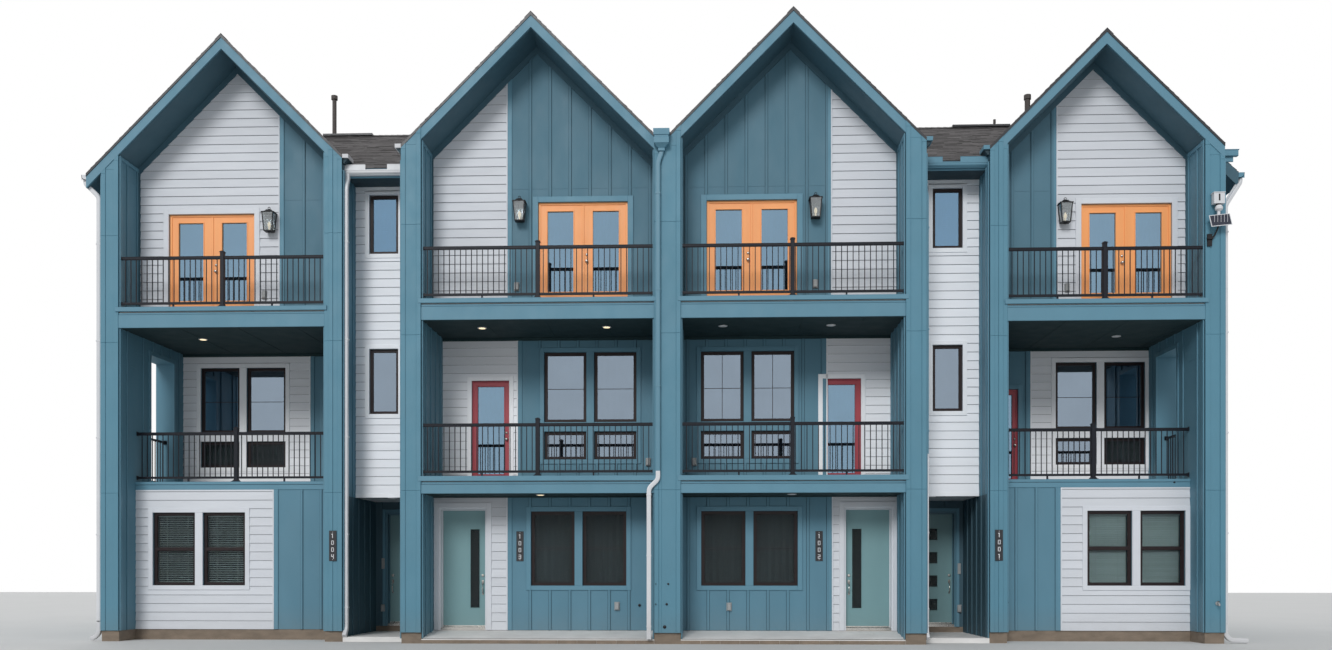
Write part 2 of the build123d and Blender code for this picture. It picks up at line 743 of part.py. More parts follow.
def back_windows():
    """Every rear window as its opening and its wall plane."""
    outer = REAR - 2 * FRAME_SETBACK - FRAME_DEPTH
    openings = []
    for house in HOUSES:
        openings += rear_windows(house)
    for bay in BAYS:
        openings += bay_rear_windows(bay)
    return [(opening, outer) for opening in openings]


with BuildPart() as window_frames:
    for opening, wall_y, rail_z in front_windows():
        window_frame(opening, wall_y, rail_z)

with BuildPart() as window_panes:
    for opening, wall_y, rail_z in front_windows():
        window_glass(opening, wall_y, rail_z)

with BuildPart() as rear_window_frames:
    for opening, wall_y in back_windows():
        window_frame(opening, wall_y)

with BuildPart() as rear_window_panes:
    for opening, wall_y in back_windows():
        window_glass(opening, wall_y)


def french_lites(house):
    """Glass areas of the double doors."""
    low_x, high_x, low_z, high_z = french_opening(house)
    middle = (low_x + high_x) / 2
    bottom = low_z + BOTTOM_RAIL + FRAME_WIDTH
    top = high_z - STILE - FRAME_WIDTH
    return [
        (low_x + FRAME_WIDTH + STILE, middle - STILE, bottom, top),
        (middle + STILE, high_x - FRAME_WIDTH - STILE, bottom, top),
    ]


def balcony_lites(house):
    """Glass area of the single door."""
    low_x, high_x, low_z, high_z = balcony_opening(house)
    return [(low_x + STILE, high_x - STILE, low_z + BOTTOM_RAIL, high_z - STILE)]


with BuildPart() as french_doors:
    for house in HOUSES:
        panel(*french_opening(house), french_lites(house), house.top + FRAME_SETBACK, FRAME_DEPTH)

with BuildPart() as balcony_doors:
    for house in HOUSES:
        panel(*balcony_opening(house), balcony_lites(house), house.middle + FRAME_SETBACK,
              FRAME_DEPTH)

with BuildPart() as upper_door_panes:
    inset = FRAME_SETBACK + (FRAME_DEPTH - GLASS_THICKNESS) / 2
    for house in HOUSES:
        for lite in french_lites(house):
            panel(*lite, [], house.top + inset, GLASS_THICKNESS)
        for lite in balcony_lites(house):
            panel(*lite, [], house.middle + inset, GLASS_THICKNESS)


def railing(low_x, high_x, y, floor_z, post_count=1):
    """Guard railing between two walls, with square balusters and posts."""
    top = floor_z + RAIL_HEIGHT
    half = RAIL_SIZE / 2
    block(low_x, high_x, y - half, y + half, top - RAIL_SIZE, top)
    low_rail = floor_z + BOTTOM_RAIL_RISE
    block(low_x, high_x, y - half, y + half, low_rail, low_rail + RAIL_SIZE)
    span = high_x - low_x
    count = max(1, round(span / BALUSTER_PITCH) - 1)
    pitch = span / (count + 1)
    with BuildSketch(Plane.XY.offset(low_rail)) as bars:
        with Locations((low_x + span / 2, y)):
            with GridLocations(pitch, pitch, count, 1):
                Rectangle(BALUSTER, BALUSTER)
    extrude(bars.sketch, amount=top - low_rail)
    with BuildSketch(Plane.XY.offset(floor_z)) as posts:
        with Locations((low_x + span / 2, y)):
            with GridLocations(span / (post_count + 1), pitch, post_count, 1):
                Rectangle(POST, POST)
    extrude(posts.sketch, amount=top + RAIL_SIZE - floor_z)


with BuildPart() as middle_railings:
    for house in HOUSES:
        railing(house.left, house.right, house.middle_edge + RAIL_SETBACK, MIDDLE_FLOOR)

with BuildPart() as top_railings:
    for house in HOUSES:
        railing(house.left, house.right, house.front + RAIL_SETBACK, TOP_FLOOR)


def side_railing(x):
    """Short railing across an end-wall opening, running from front to back."""
    top = MIDDLE_FLOOR + RAIL_HEIGHT
    half = RAIL_SIZE / 2
    low_y = SIDE_OPENING_START
    high_y = SIDE_OPENING_START + SIDE_OPENING_WIDTH
    low_rail = MIDDLE_FLOOR + BOTTOM_RAIL_RISE
    block(x - half, x + half, low_y, high_y, top - RAIL_SIZE, top)
    block(x - half, x + half, low_y, high_y, low_rail, low_rail + RAIL_SIZE)
    count = max(1, round(SIDE_OPENING_WIDTH / BALUSTER_PITCH) - 1)
    pitch = SIDE_OPENING_WIDTH / (count + 1)
    with BuildSketch(Plane.XY.offset(low_rail)) as bars:
        with Locations((x, low_y + SIDE_OPENING_WIDTH / 2)):
            with GridLocations(pitch, pitch, 1, count):
                Rectangle(BALUSTER, BALUSTER)
    extrude(bars.sketch, amount=top - low_rail)


with BuildPart() as side_railings:
    side_railing((A_OUTER + A_LEFT) / 2)
    side_railing((D_RIGHT + D_OUTER) / 2)


# Frames of the entry doors
with BuildPart() as door_jambs:
    for entry in ENTRIES:
        inner = LEAF_WIDTH / 2 + DOOR_GAP
        for side in (-1, 1):
            edges = sorted((entry.centre + side * inner, entry.centre + side * ENTRY_HALF))
            block(*edges, entry.wall, entry.wall + FRONT_WALL, GROUND_FLOOR, ENTRY_HEAD)

with BuildPart() as door_heads:
    for entry in ENTRIES:
        inner = LEAF_WIDTH / 2 + DOOR_GAP
        block(entry.centre - inner, entry.centre + inner, entry.wall, entry.wall + FRONT_WALL,
              ENTRY_HEAD - JAMB, ENTRY_HEAD)

with BuildPart() as door_sills:
    for entry in ENTRIES:
        inner = LEAF_WIDTH / 2 + DOOR_GAP
        block(entry.centre - inner, entry.centre + inner, entry.wall, entry.wall + FRONT_WALL,
              GROUND_FLOOR, LEAF_BOTTOM - SILL_GAP)


def leaf_lites(entry):
    """Glass areas of an entry door leaf."""
    low_x = entry.centre - LEAF_WIDTH / 2
    high_x = entry.centre + LEAF_WIDTH / 2
    if entry.lites == "slot":
        free_edge = high_x if entry.hinge < 0 else low_x
        near = free_edge + entry.hinge * LITE_INSET
        far = near + entry.hinge * LITE_WIDTH
        return [(*sorted((near, far)), LEAF_BOTTOM + LITE_BOTTOM,
                 LEAF_BOTTOM + LITE_BOTTOM + LITE_HEIGHT)]
    lites = []
    for row in range(SQUARE_LITES):
        bottom = LEAF_BOTTOM + SQUARE_LITE_START + row * SQUARE_LITE_PITCH
        lites.append((entry.centre - SQUARE_LITE / 2, entry.centre + SQUARE_LITE / 2,
                      bottom, bottom + SQUARE_LITE))
    return lites


def leaf_front(entry):
    """Depth of the street face of a closed leaf, flush with the room side of its wall."""
    return entry.wall + FRONT_WALL - LEAF_THICKNESS


def door_leaf(entry):
    """Door leaf with its lites cut through."""
    low_x = entry.centre - LEAF_WIDTH / 2
    high_x = entry.centre + LEAF_WIDTH / 2
    panel(low_x, high_x, LEAF_BOTTOM, LEAF_BOTTOM + LEAF_HEIGHT, leaf_lites(entry),
          leaf_front(entry), LEAF_THICKNESS)


def door_glass(entry):
    """Panes of a door leaf."""
    for lite in leaf_lites(entry):
        panel(*lite, [], leaf_front(entry) + (LEAF_THICKNESS - GLASS_THICKNESS) / 2,
              GLASS_THICKNESS)


def door_handle(entry):
    """Lever handle with a long plate on the street side of a leaf."""
    free_x = entry.centre - entry.hinge * (LEAF_WIDTH / 2 - HANDLE_INSET)
    y = leaf_front(entry)
    z = LEAF_BOTTOM + HANDLE_HEIGHT
    plate = 8
    neck = 50
    with BuildSketch(facing_street(y)) as face:
        with Locations((free_x, z + 40)):
            Rectangle(55, 240)
    extrude(face.sketch, amount=plate, dir=(0, -1, 0))
    with BuildSketch(facing_street(y - plate)) as stem:
        with Locations((free_x, z)):
            RegularPolygon(11, 8)
    extrude(stem.sketch, amount=neck, dir=(0, -1, 0))
    lever = sorted((free_x - entry.hinge * 12, free_x + entry.hinge * 125))
    block(*lever, y - plate - neck - 12, y - plate - neck, z - 11, z + 11)


# Knuckles and plates on the jambs that carry the leaves
with BuildPart() as door_hinges:
    for entry in ENTRIES:
        pin_x = entry.centre + entry.hinge * (LEAF_WIDTH + DOOR_GAP) / 2
        room_y = entry.wall + FRONT_WALL
        for rise in HINGE_RISES:
            low_z = LEAF_BOTTOM + rise
            with BuildSketch(Plane.XY.offset(low_z)) as knuckle:
                with Locations((pin_x, room_y + PIN_OUT)):
                    RegularPolygon(KNUCKLE_RADIUS, 8)
                plate = sorted((pin_x, pin_x + entry.hinge * HINGE_PLATE))
                rectangle(*plate, room_y, room_y + HINGE_SHEET)
            extrude(knuckle.sketch, amount=HINGE_HEIGHT)

entry_nodes = {}
for entry in ENTRIES:
    with BuildPart() as leaf:
        door_leaf(entry)
    with BuildPart() as panes:
        door_glass(entry)
    with BuildPart() as handle:
        door_handle(entry)
    entry_nodes[f"entry_door_{entry.name}"] = leaf
    entry_nodes[f"entry_door_glass_{entry.name}"] = panes
    entry_nodes[f"entry_handle_{entry.name}"] = handle


def trough_across(low_x, high_x, wall_y, top_z, side):
    """Gutter along the row, hung on the eave edge at wall_y; side is -1 on the street side."""
    outer = wall_y + side * GUTTER_WIDTH
    front, back = sorted((outer, wall_y))
    with BuildSketch(Plane.YZ.offset(low_x)) as section:
        rectangle(front, back, top_z - GUTTER_HEIGHT, top_z)
        rectangle(front + GUTTER_SHEET, back - GUTTER_SHEET, top_z - GUTTER_HEIGHT + GUTTER_SHEET,
                  top_z, mode=Mode.SUBTRACT)
    extrude(section.sketch, amount=high_x - low_x, dir=(1, 0, 0))


def trough_back(edge_x, side, low_y, high_y, top_z):
    """Gutter from front to back on an eave edge; side is -1 on the left end of the row."""
    left, right = sorted((edge_x, edge_x + side * GUTTER_WIDTH))
    with BuildSketch(facing_street(low_y)) as section:
        rectangle(left, right, top_z - GUTTER_HEIGHT, top_z)
        rectangle(left + GUTTER_SHEET, right - GUTTER_SHEET, top_z - GUTTER_HEIGHT + GUTTER_SHEET,
                  top_z, mode=Mode.SUBTRACT)
    extrude(section.sketch, amount=high_y - low_y, dir=(0, 1, 0))


LEFT_EAVE_X = A_OUTER - LEFT_OVERHANG
RIGHT_EAVE_X = D_OUTER + RIGHT_OVERHANG
LEFT_EAVE_Z = roof_z(HOUSE_A, LEFT_EAVE_X)
RIGHT_EAVE_Z = roof_z(HOUSE_D, RIGHT_EAVE_X)

with BuildPart() as gutters:
    for bay in BAYS:
        trough_across(bay.left, bay.right, BAY_EAVE_Y, BAY_EAVE_Z, -1)
        trough_across(bay.left, bay.right, BAY_REAR_EAVE_Y, BAY_EAVE_Z, 1)
    trough_back(LEFT_EAVE_X, -1, OUTER_FRONT, REAR, LEFT_EAVE_Z)
    trough_back(RIGHT_EAVE_X, 1, OUTER_FRONT + RIGHT_OVERHANG_START, REAR, RIGHT_EAVE_Z)


def spout(points, width, depth):
    """Rectangular downspout swept along its route."""
    with BuildLine() as route:
        Polyline(*points)
    with BuildSketch(Plane(origin=route.line @ 0, z_dir=route.line % 0, x_dir=(1, 0, 0))) as cut:
        Rectangle(width, depth)
    sweep(cut.sketch, path=route.line, transition=Transition.RIGHT)


SPOUT_BOTTOM = 60
SPOUT_DROP = 300
HEAD_TOP = EAVE + 240
HEAD_WIDTH = 320
HEAD_DEPTH = 180
HEAD_HEIGHT = 260
HEAD_TAPER = 150

# Box that takes the water of the valley between the middle houses
with BuildPart() as conductor_head:
    block(-HEAD_WIDTH / 2, HEAD_WIDTH / 2, -RAKE_BOARD - HEAD_DEPTH, -RAKE_BOARD,
          HEAD_TOP - HEAD_HEIGHT, HEAD_TOP)
    hopper = HEAD_TOP - HEAD_HEIGHT
    elevation(
        [
            (-HEAD_WIDTH / 2, hopper),
            (HEAD_WIDTH / 2, hopper),
            (SPOUT_WIDTH / 2 - 60, hopper - HEAD_TAPER),
            (-SPOUT_WIDTH / 2 - 60, hopper - HEAD_TAPER),
        ],
        [], -RAKE_BOARD - HEAD_DEPTH / 2, HEAD_DEPTH / 2,
    )

with BuildPart() as downspouts:
    half = SPOUT_DEPTH / 2
    # Middle pier, with an offset to the left at the middle floor
    valley_y = -RAKE_BOARD - half
    step_z = MIDDLE_FLOOR + 60
    spout(
        [
            (-60, valley_y, HEAD_TOP - HEAD_HEIGHT - HEAD_TAPER),
            (-60, valley_y, step_z),
            (-270, valley_y, step_z - 120),
            (-270, valley_y, SPOUT_BOTTOM),
        ],
        SPOUT_WIDTH, SPOUT_DEPTH,
    )
    # Passage sides of the two wings left of the bays
    for face_x, front_y in ((A_WING, OUTER_FRONT), (C_OUTER, 0)):
        gutter_y = BAY_EAVE_Y - GUTTER_WIDTH / 2
        x = face_x + half
        spout(
            [
                (x, gutter_y, BAY_EAVE_Z - GUTTER_HEIGHT),
                (x, gutter_y, BAY_EAVE_Z - GUTTER_HEIGHT - 120),
                (x, front_y + 60, BAY_EAVE_Z - GUTTER_HEIGHT - 360),
                (x, front_y + 60, PORCH_TOP),
            ],
            SPOUT_DEPTH, SPOUT_WIDTH,
        )
    # Ends of the row
    spout(
        [
            (LEFT_EAVE_X - GUTTER_WIDTH / 2, OUTER_FRONT + 80, LEFT_EAVE_Z - GUTTER_HEIGHT),
            (LEFT_EAVE_X - GUTTER_WIDTH / 2, OUTER_FRONT + 80,
             LEFT_EAVE_Z - GUTTER_HEIGHT - SPOUT_DROP),
            (A_OUTER - half, OUTER_FRONT + 80,
             LEFT_EAVE_Z - GUTTER_HEIGHT - SPOUT_DROP - LEFT_OVERHANG),
            (A_OUTER - half, OUTER_FRONT + 80, SPOUT_BOTTOM),
        ],
        SPOUT_DEPTH, SPOUT_WIDTH,
    )
    start_y = OUTER_FRONT + RIGHT_OVERHANG_START + 80
    spout(
        [
            (RIGHT_EAVE_X + GUTTER_WIDTH / 2, start_y, RIGHT_EAVE_Z - GUTTER_HEIGHT),
            (RIGHT_EAVE_X + GUTTER_WIDTH / 2, start_y,
             RIGHT_EAVE_Z - GUTTER_HEIGHT - SPOUT_DROP),
            (D_OUTER + half, start_y,
             RIGHT_EAVE_Z - GUTTER_HEIGHT - SPOUT_DROP - RIGHT_OVERHANG),
            (D_OUTER + half, start_y, SPOUT_BOTTOM),
        ],
        SPOUT_DEPTH, SPOUT_WIDTH,
    )

# Vent pipes that stand on the roofs: place, roof surface, height, radius and cap radius
VENT_CAP = 90
VENT_FOOT = 120
VENT_A_Y = BAY_RIDGE_Y + 275
VENT_D_X = D_WING + 990
VENT_D_Y = BAY_RIDGE_Y + 425
VENTS = [
    (A_WING - 1630, VENT_A_Y, bay_roof_z(VENT_A_Y), 1190, 52, 80),
    (VENT_D_X, OUTER_FRONT + 850, roof_z(HOUSE_D, VENT_D_X), 400, 58, 75),
    (D_WING + 1240, VENT_D_Y, bay_roof_z(VENT_D_Y), 490, 24, 32),
]

with BuildPart() as vent_pipes:
    for x, y, surface, height, radius, cap_radius in VENTS:
        with BuildSketch(Plane.XY.offset(surface - VENT_FOOT)) as ring:
            with Locations((x, y)):
                RegularPolygon(radius, 10)
        extrude(ring.sketch, amount=VENT_FOOT + height)
        with BuildSketch(Plane.XY.offset(surface + height - VENT_CAP)) as cap:
            with Locations((x, y)):
                RegularPolygon(cap_radius, 10)
        extrude(cap.sketch, amount=VENT_CAP)
    for roof in (left_roof_slopes, right_roof_slopes, bay_roof_backs):
        add(roof.part, mode=Mode.SUBTRACT)

# Lanterns beside the top doors
LANTERN_WIDTH = 270
LANTERN_HEIGHT = 500
LANTERN_DEPTH = 240
LANTERN_HAT = 100
LANTERN_BASE_INSET = 45
LANTERN_HAT_INSET = 85
LANTERN_PLATE = 25
LANTERN_RISE = 2230
LANTERN_OFFSET = 365
LANTERN_TOP = TOP_FLOOR + LANTERN_RISE
LANTERN_RIM = LANTERN_TOP - LANTERN_HAT


def lantern_outline(width):
    """Corners of a lantern seen from one side: a tapered body under a sloped hat."""
    base = width / 2 - LANTERN_BASE_INSET
    peak = width / 2 - LANTERN_HAT_INSET
    return [
        (-base, LANTERN_HAT - LANTERN_HEIGHT),
        (base, LANTERN_HAT - LANTERN_HEIGHT),
        (width / 2, 0),
        (peak, LANTERN_HAT),
        (-peak, LANTERN_HAT),
        (-width / 2, 0),
    ]


with BuildPart() as lantern:
    with BuildSketch(Plane.XZ):
        with BuildLine():
            Polyline(*lantern_outline(LANTERN_WIDTH), close=True)
        make_face()
    extrude(amount=LANTERN_DEPTH / 2, both=True)
    with BuildSketch(Plane.YZ):
        with BuildLine():
            Polyline(*lantern_outline(LANTERN_DEPTH), close=True)
        make_face()
    extrude(amount=LANTERN_WIDTH / 2, both=True, mode=Mode.INTERSECT)

with BuildPart() as lanterns:
    for house in HOUSES:
        low_x, high_x, low_z, high_z = french_opening(house)
        x = high_x + LANTERN_OFFSET if house.windows_side == "left" else low_x - LANTERN_OFFSET
        plate_y = house.top - LANTERN_PLATE
        block(x - 60, x + 60, plate_y, house.top, LANTERN_TOP - 330, LANTERN_RIM)
        block(x - 15, x + 15, plate_y - 85, plate_y, LANTERN_TOP - 60, LANTERN_TOP - 30)
        with Locations((x, plate_y - LANTERN_DEPTH / 2, LANTERN_RIM)):
            add(lantern.part)

# Number plaques beside the entries
PLAQUE_WIDTH = 150
PLAQUE_HEIGHT = 620
PLAQUE_BOTTOM = 1650
PLAQUE_THICKNESS = 20
PLAQUE_B_OFFSET = 1195
PLAQUE_C_OFFSET = 1015
PLAQUES = [
    (A_WING - LEFT_WING / 2, OUTER_FRONT),
    (ENTRIES[1].centre + PLAQUE_B_OFFSET, INNER_GROUND_WALL),
    (ENTRIES[2].centre - PLAQUE_C_OFFSET, INNER_GROUND_WALL),
    (D_WING + RIGHT_WING / 2, OUTER_FRONT),
]

with BuildPart() as number_plaques:
    for x, wall_y in PLAQUES:
        block(x - PLAQUE_WIDTH / 2, x + PLAQUE_WIDTH / 2, wall_y - PLAQUE_THICKNESS, wall_y,
              PLAQUE_BOTTOM, PLAQUE_BOTTOM + PLAQUE_HEIGHT)

nodes = {
    "foundation": foundation,
    "porch_slabs": porch_slabs,
    "middle_floors": middle_floors,
    "top_floors": top_floors,
    "bay_floors": bay_floors,
    "left_side_wall": left_side_wall,
    "right_side_wall": right_side_wall,
    "left_party_wall": left_party_wall,
    "middle_party_wall": middle_party_wall,
    "right_party_wall": right_party_wall,
    "wing_walls": wing_walls,
    "ground_front_walls": ground_front_walls,
    "passage_walls": passage_walls,
    "wall_over_doors": wall_over_doors,
    "passage_ceilings": passage_ceilings,
    "middle_front_walls": middle_front_walls,
    "top_front_walls": top_front_walls,
    "bay_walls": bay_walls,
    "rear_walls": rear_walls,
    "left_roof_slopes": left_roof_slopes,
    "right_roof_slopes": right_roof_slopes,
    "left_rake_boards": left_rake_boards,
    "right_rake_boards": right_rake_boards,
    "bay_roof_fronts": bay_roof_fronts,
    "bay_roof_backs": bay_roof_backs,
    "window_frames": window_frames,
    "window_panes": window_panes,
    "rear_window_frames": rear_window_frames,
    "rear_window_panes": rear_window_panes,
    "french_doors": french_doors,
    "balcony_doors": balcony_doors,
    "upper_door_panes": upper_door_panes,
    "middle_railings": middle_railings,
    "top_railings": top_railings,
    "side_railings": side_railings,
    "door_jambs": door_jambs,
    "door_heads": door_heads,
    "door_sills": door_sills,
    "door_hinges": door_hinges,
    "gutters": gutters,
    "conductor_head": conductor_head,
    "downspouts": downspouts,
    "vent_pipes": vent_pipes,
    "lanterns": lanterns,
    "number_plaques": number_plaques,
}
nodes.update(entry_nodes)

os.makedirs("parts", exist_ok=True)
for name, piece in nodes.items():
    piece.part.label = name
    export_step(piece.part, f"parts/{name}.step")
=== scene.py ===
"""Looks of a row of four three-storey terraced houses.

Metres, X along the street, Y back from the street, Z up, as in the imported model.
"""

import math
import random

import bmesh
import bpy
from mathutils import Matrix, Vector


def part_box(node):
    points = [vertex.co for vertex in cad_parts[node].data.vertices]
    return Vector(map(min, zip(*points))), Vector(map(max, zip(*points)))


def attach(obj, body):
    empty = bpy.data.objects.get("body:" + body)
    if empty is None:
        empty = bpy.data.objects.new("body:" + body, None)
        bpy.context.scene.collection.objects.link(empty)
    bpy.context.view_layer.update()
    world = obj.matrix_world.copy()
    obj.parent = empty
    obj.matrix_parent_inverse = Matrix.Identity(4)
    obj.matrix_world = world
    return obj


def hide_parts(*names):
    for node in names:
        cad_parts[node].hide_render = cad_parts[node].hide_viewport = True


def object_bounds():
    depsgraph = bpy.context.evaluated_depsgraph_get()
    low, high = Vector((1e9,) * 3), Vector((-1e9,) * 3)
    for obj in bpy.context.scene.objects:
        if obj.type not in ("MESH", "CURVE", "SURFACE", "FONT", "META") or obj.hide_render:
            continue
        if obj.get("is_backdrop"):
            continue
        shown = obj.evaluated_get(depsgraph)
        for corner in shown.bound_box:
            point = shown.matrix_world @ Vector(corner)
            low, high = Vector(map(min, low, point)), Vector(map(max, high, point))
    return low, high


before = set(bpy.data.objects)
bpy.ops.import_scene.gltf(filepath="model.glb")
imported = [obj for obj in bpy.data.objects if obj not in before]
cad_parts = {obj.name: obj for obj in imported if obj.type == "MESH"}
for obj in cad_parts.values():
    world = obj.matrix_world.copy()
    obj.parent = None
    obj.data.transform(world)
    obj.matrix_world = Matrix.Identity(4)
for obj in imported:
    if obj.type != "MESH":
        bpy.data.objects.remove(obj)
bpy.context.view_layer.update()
rng = random.Random(7)

# Camera fitted to the photograph
CAMERA_PLACE = (0.896, -22.3, 1.40)
CAMERA_TURN = 2.083
CAMERA_LENS = 30.47
CAMERA_SHIFT = 0.1864


def islands(node):
    """Lowest and highest corner of each separate solid of a CAD node, from left to right."""
    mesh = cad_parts[node].data
    places = {}
    index = [places.setdefault(tuple(round(c, 4) for c in v.co), len(places))
             for v in mesh.vertices]
    group = list(range(len(places)))

    def root(i):
        while group[i] != i:
            group[i] = group[group[i]]
            i = group[i]
        return i

    for edge in mesh.edges:
        a, b = (root(index[i]) for i in edge.vertices)
        group[a] = b
    solids = {}
    for place, i in places.items():
        solids.setdefault(root(i), []).append(place)
    return sorted((tuple(map(min, zip(*points))), tuple(map(max, zip(*points))))
                  for points in solids.values())


def extent(node, axis="x"):
    """Low and high end of a CAD node along an axis."""
    return [getattr(corner, axis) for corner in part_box(node)]


GROUND_FLOOR = extent("foundation", "z")[1]
PORCH = extent("porch_slabs", "z")[1]
MIDDLE_SOFFIT, MIDDLE_FLOOR = extent("middle_floors", "z")
TOP_SOFFIT, TOP_FLOOR = extent("top_floors", "z")
GROUND_TOP = 3.165
SIDE_TOP = 6.14
BAY_TOP = 9.575
ROOF_DEPTH = 0.283
BOARD = 0.04
EAVE = extent("left_party_wall", "z")[1] - 0.4 + ROOF_DEPTH
REAR = extent("left_party_wall", "y")[1]
BAY_WALL = extent("bay_walls", "y")[0]
PASSAGE_WALL = extent("passage_walls", "y")[0]
SIDE_Y0, SIDE_Y1 = 1.8, 2.85

A_OUTER, A_LEFT = extent("left_side_wall")
A_RIGHT, D_LEFT = extent("wing_walls")
A_WING, D_WING = extent("bay_walls")
B_OUTER, B_LEFT = extent("left_party_wall")
B_RIGHT, C_LEFT = extent("middle_party_wall")
C_RIGHT, C_OUTER = extent("right_party_wall")
D_RIGHT, D_OUTER = extent("right_side_wall")


class House:
    """Lines of one house: walls, roof edges, depths of its fronts, and where its white ends."""

    def __init__(self, name, walls, roof, depths, white_side, splits):
        self.name, self.white_side, self.splits = name, white_side, splits
        self.left, self.right = walls
        self.roof_left, self.roof_right = roof
        self.front, self.ground, self.middle, self.edge, self.top = depths
        self.outer = self.front > 0
        self.mid = (self.roof_left + self.roof_right) / 2
        self.ridge = EAVE + (self.roof_right - self.roof_left) / 2

    def roof(self, x):
        """Outer roof surface at x."""
        return self.ridge - abs(x - self.mid)

    def soffit(self, x):
        """Underside of the roof at x."""
        return self.roof(x) - ROOF_DEPTH

    def limits(self, u0, u1):
        """Left and right limit, by height, of what lies under the gable between u0 and u1."""
        rise = self.ridge - ROOF_DEPTH
        return (lambda v: max(u0, self.mid - (rise - v)), lambda v: min(u1, self.mid + (rise - v)))


# Y of the wings, ground front, middle front, edge of the middle balcony and top front
OUTER = (0.5, 1.18, 3.35, 1.18, 1.3)
INNER = (0.0, 1.0, 1.8, 0.0, 0.8)
A = House("a", (A_LEFT, A_RIGHT), (A_OUTER, A_WING), OUTER, "left", (-8.23, -8.22, -8.15))
B = House("b", (B_LEFT, B_RIGHT), (B_OUTER, 0.0), INNER, "left", (-3.24, -3.16, -3.205))
C = House("c", (C_LEFT, C_RIGHT), (0.0, C_OUTER), INNER, "right", (3.46, 3.43, 3.42))
D = House("d", (D_LEFT, D_RIGHT), (D_WING, D_OUTER), OUTER, "right", (8.16, 8.16, 8.11))
HOUSES = (A, B, C, D)
BAYS = ((A_WING, B_OUTER), (C_OUTER, D_WING))
# Faces beside the bays: X, way out and house
BAY_SIDES = ((A_WING, 1, A), (B_OUTER, -1, B), (C_OUTER, 1, C), (D_WING, -1, D))

WINDOWS = islands("window_frames")
REAR_WINDOWS = islands("rear_window_frames")
FRENCH = islands("french_doors")
BALCONY_DOORS = islands("balcony_doors")


# Materials
def tinted(color, by):
    return tuple(min(1.0, c * by) for c in color)


def add(tree, kind, inputs, **settings):
    """New shader node; inputs gives each socket a value or the output that feeds it."""
    made = tree.nodes.new("ShaderNode" + kind)
    for name, value in settings.items():
        setattr(made, name, value)
    for socket, value in inputs.items():
        if isinstance(value, bpy.types.NodeSocket):
            tree.links.new(value, made.inputs[socket])
        else:
            made.inputs[socket].default_value = value
    return made


def surface(name, color, roughness, tone, shade, grain, bump, bump_scale=(40, 40, 40), dirt=0.0,
            gloss=0.5, metallic=0.0, detail=4.0):
    """Procedural finish: mottled colour, board to board change, grain in relief, dirt low down."""
    material = bpy.data.materials.new(name)
    material.use_nodes = True
    tree = material.node_tree
    shader = tree.nodes["Principled BSDF"]
    shader.inputs["Metallic"].default_value = metallic
    shader.inputs["Specular IOR Level"].default_value = gloss
    place = add(tree, "TexCoord", {}).outputs["Object"]

    def noise(scale, depth, rough=0.55):
        mapping = add(tree, "Mapping", {"Vector": place, "Scale": scale})
        return add(tree, "TexNoise", {"Vector": mapping.outputs["Vector"], "Scale": 1.0,
                                      "Detail": depth, "Roughness": rough}).outputs["Fac"]

    def spread(value, low, high, to_low, to_high):
        return add(tree, "MapRange", {"Value": value, "From Min": low, "From Max": high,
                                      "To Min": to_low, "To Max": to_high}).outputs["Result"]

    def blend(factor, first, second, how="MIX"):
        first, second = ((*v, 1.0) if isinstance(v, tuple) else v for v in (first, second))
        return add(tree, "Mix", {0: factor, 6: first, 7: second}, data_type="RGBA",
                   blend_type=how).outputs[2]

    cloud = spread(noise(grain, detail), 0.3, 0.7, 0.0, 1.0)
    shown = blend(cloud, tinted(color, 1 - tone), tinted(color, 1 + tone))
    if shade:
        attribute = add(tree, "Attribute", {}, attribute_name="shade")
        level = spread(attribute.outputs["Fac"], 0.0, 1.0, 1 - shade, 1.0)
        grey = add(tree, "CombineColor", dict.fromkeys(("Red", "Green", "Blue"), level))
        shown = blend(1.0, shown, grey.outputs["Color"], "MULTIPLY")
    if dirt:
        height = add(tree, "SeparateXYZ", {"Vector": place})
        low = spread(height.outputs["Z"], 0.1, 0.75, dirt, 0.0)
        patch = add(tree, "Math", {0: low, 1: noise((3, 3, 5), 5.0, 0.7)}, operation="MULTIPLY")
        shown = blend(patch.outputs["Value"], shown, (0.20, 0.16, 0.12))
    tree.links.new(shown, shader.inputs["Base Color"])
    rough = spread(noise(tuple(2.3 * g for g in grain), 3.0), 0.3, 0.7,
                   max(0.02, roughness - 0.07), min(1.0, roughness + 0.07))
    tree.links.new(rough, shader.inputs["Roughness"])
    if bump:
        relief = add(tree, "Bump", {"Strength": 0.6, "Distance": bump,
                                    "Height": noise(bump_scale, 6.0, 0.65)})
        tree.links.new(relief.outputs["Normal"], shader.inputs["Normal"])
    material.diffuse_color = (*color, 1.0)
    return material


def glazing(name, color, metallic, transmission, roughness=0.02, ior=1.5):
    """Pane with a faintly mottled tint."""
    material = surface(name, color, roughness, 0.03, 0.0, (1.5, 1.5, 1.5), 0.0)
    inputs = material.node_tree.nodes["Principled BSDF"].inputs
    material.node_tree.links.remove(inputs["Roughness"].links[0])
    for socket, value in (("Roughness", roughness), ("Metallic", metallic),
                          ("Transmission Weight", transmission), ("IOR", ior)):
        inputs[socket].default_value = value
    return material


def glowing(name, color, strength):
    """Lamp lens."""
    material = surface(name, color, 0.4, 0.02, 0.0, (20, 20, 20), 0.0)
    inputs = material.node_tree.nodes["Principled BSDF"].inputs
    inputs["Emission Color"].default_value = (*color, 1.0)
    inputs["Emission Strength"].default_value = strength
    return material


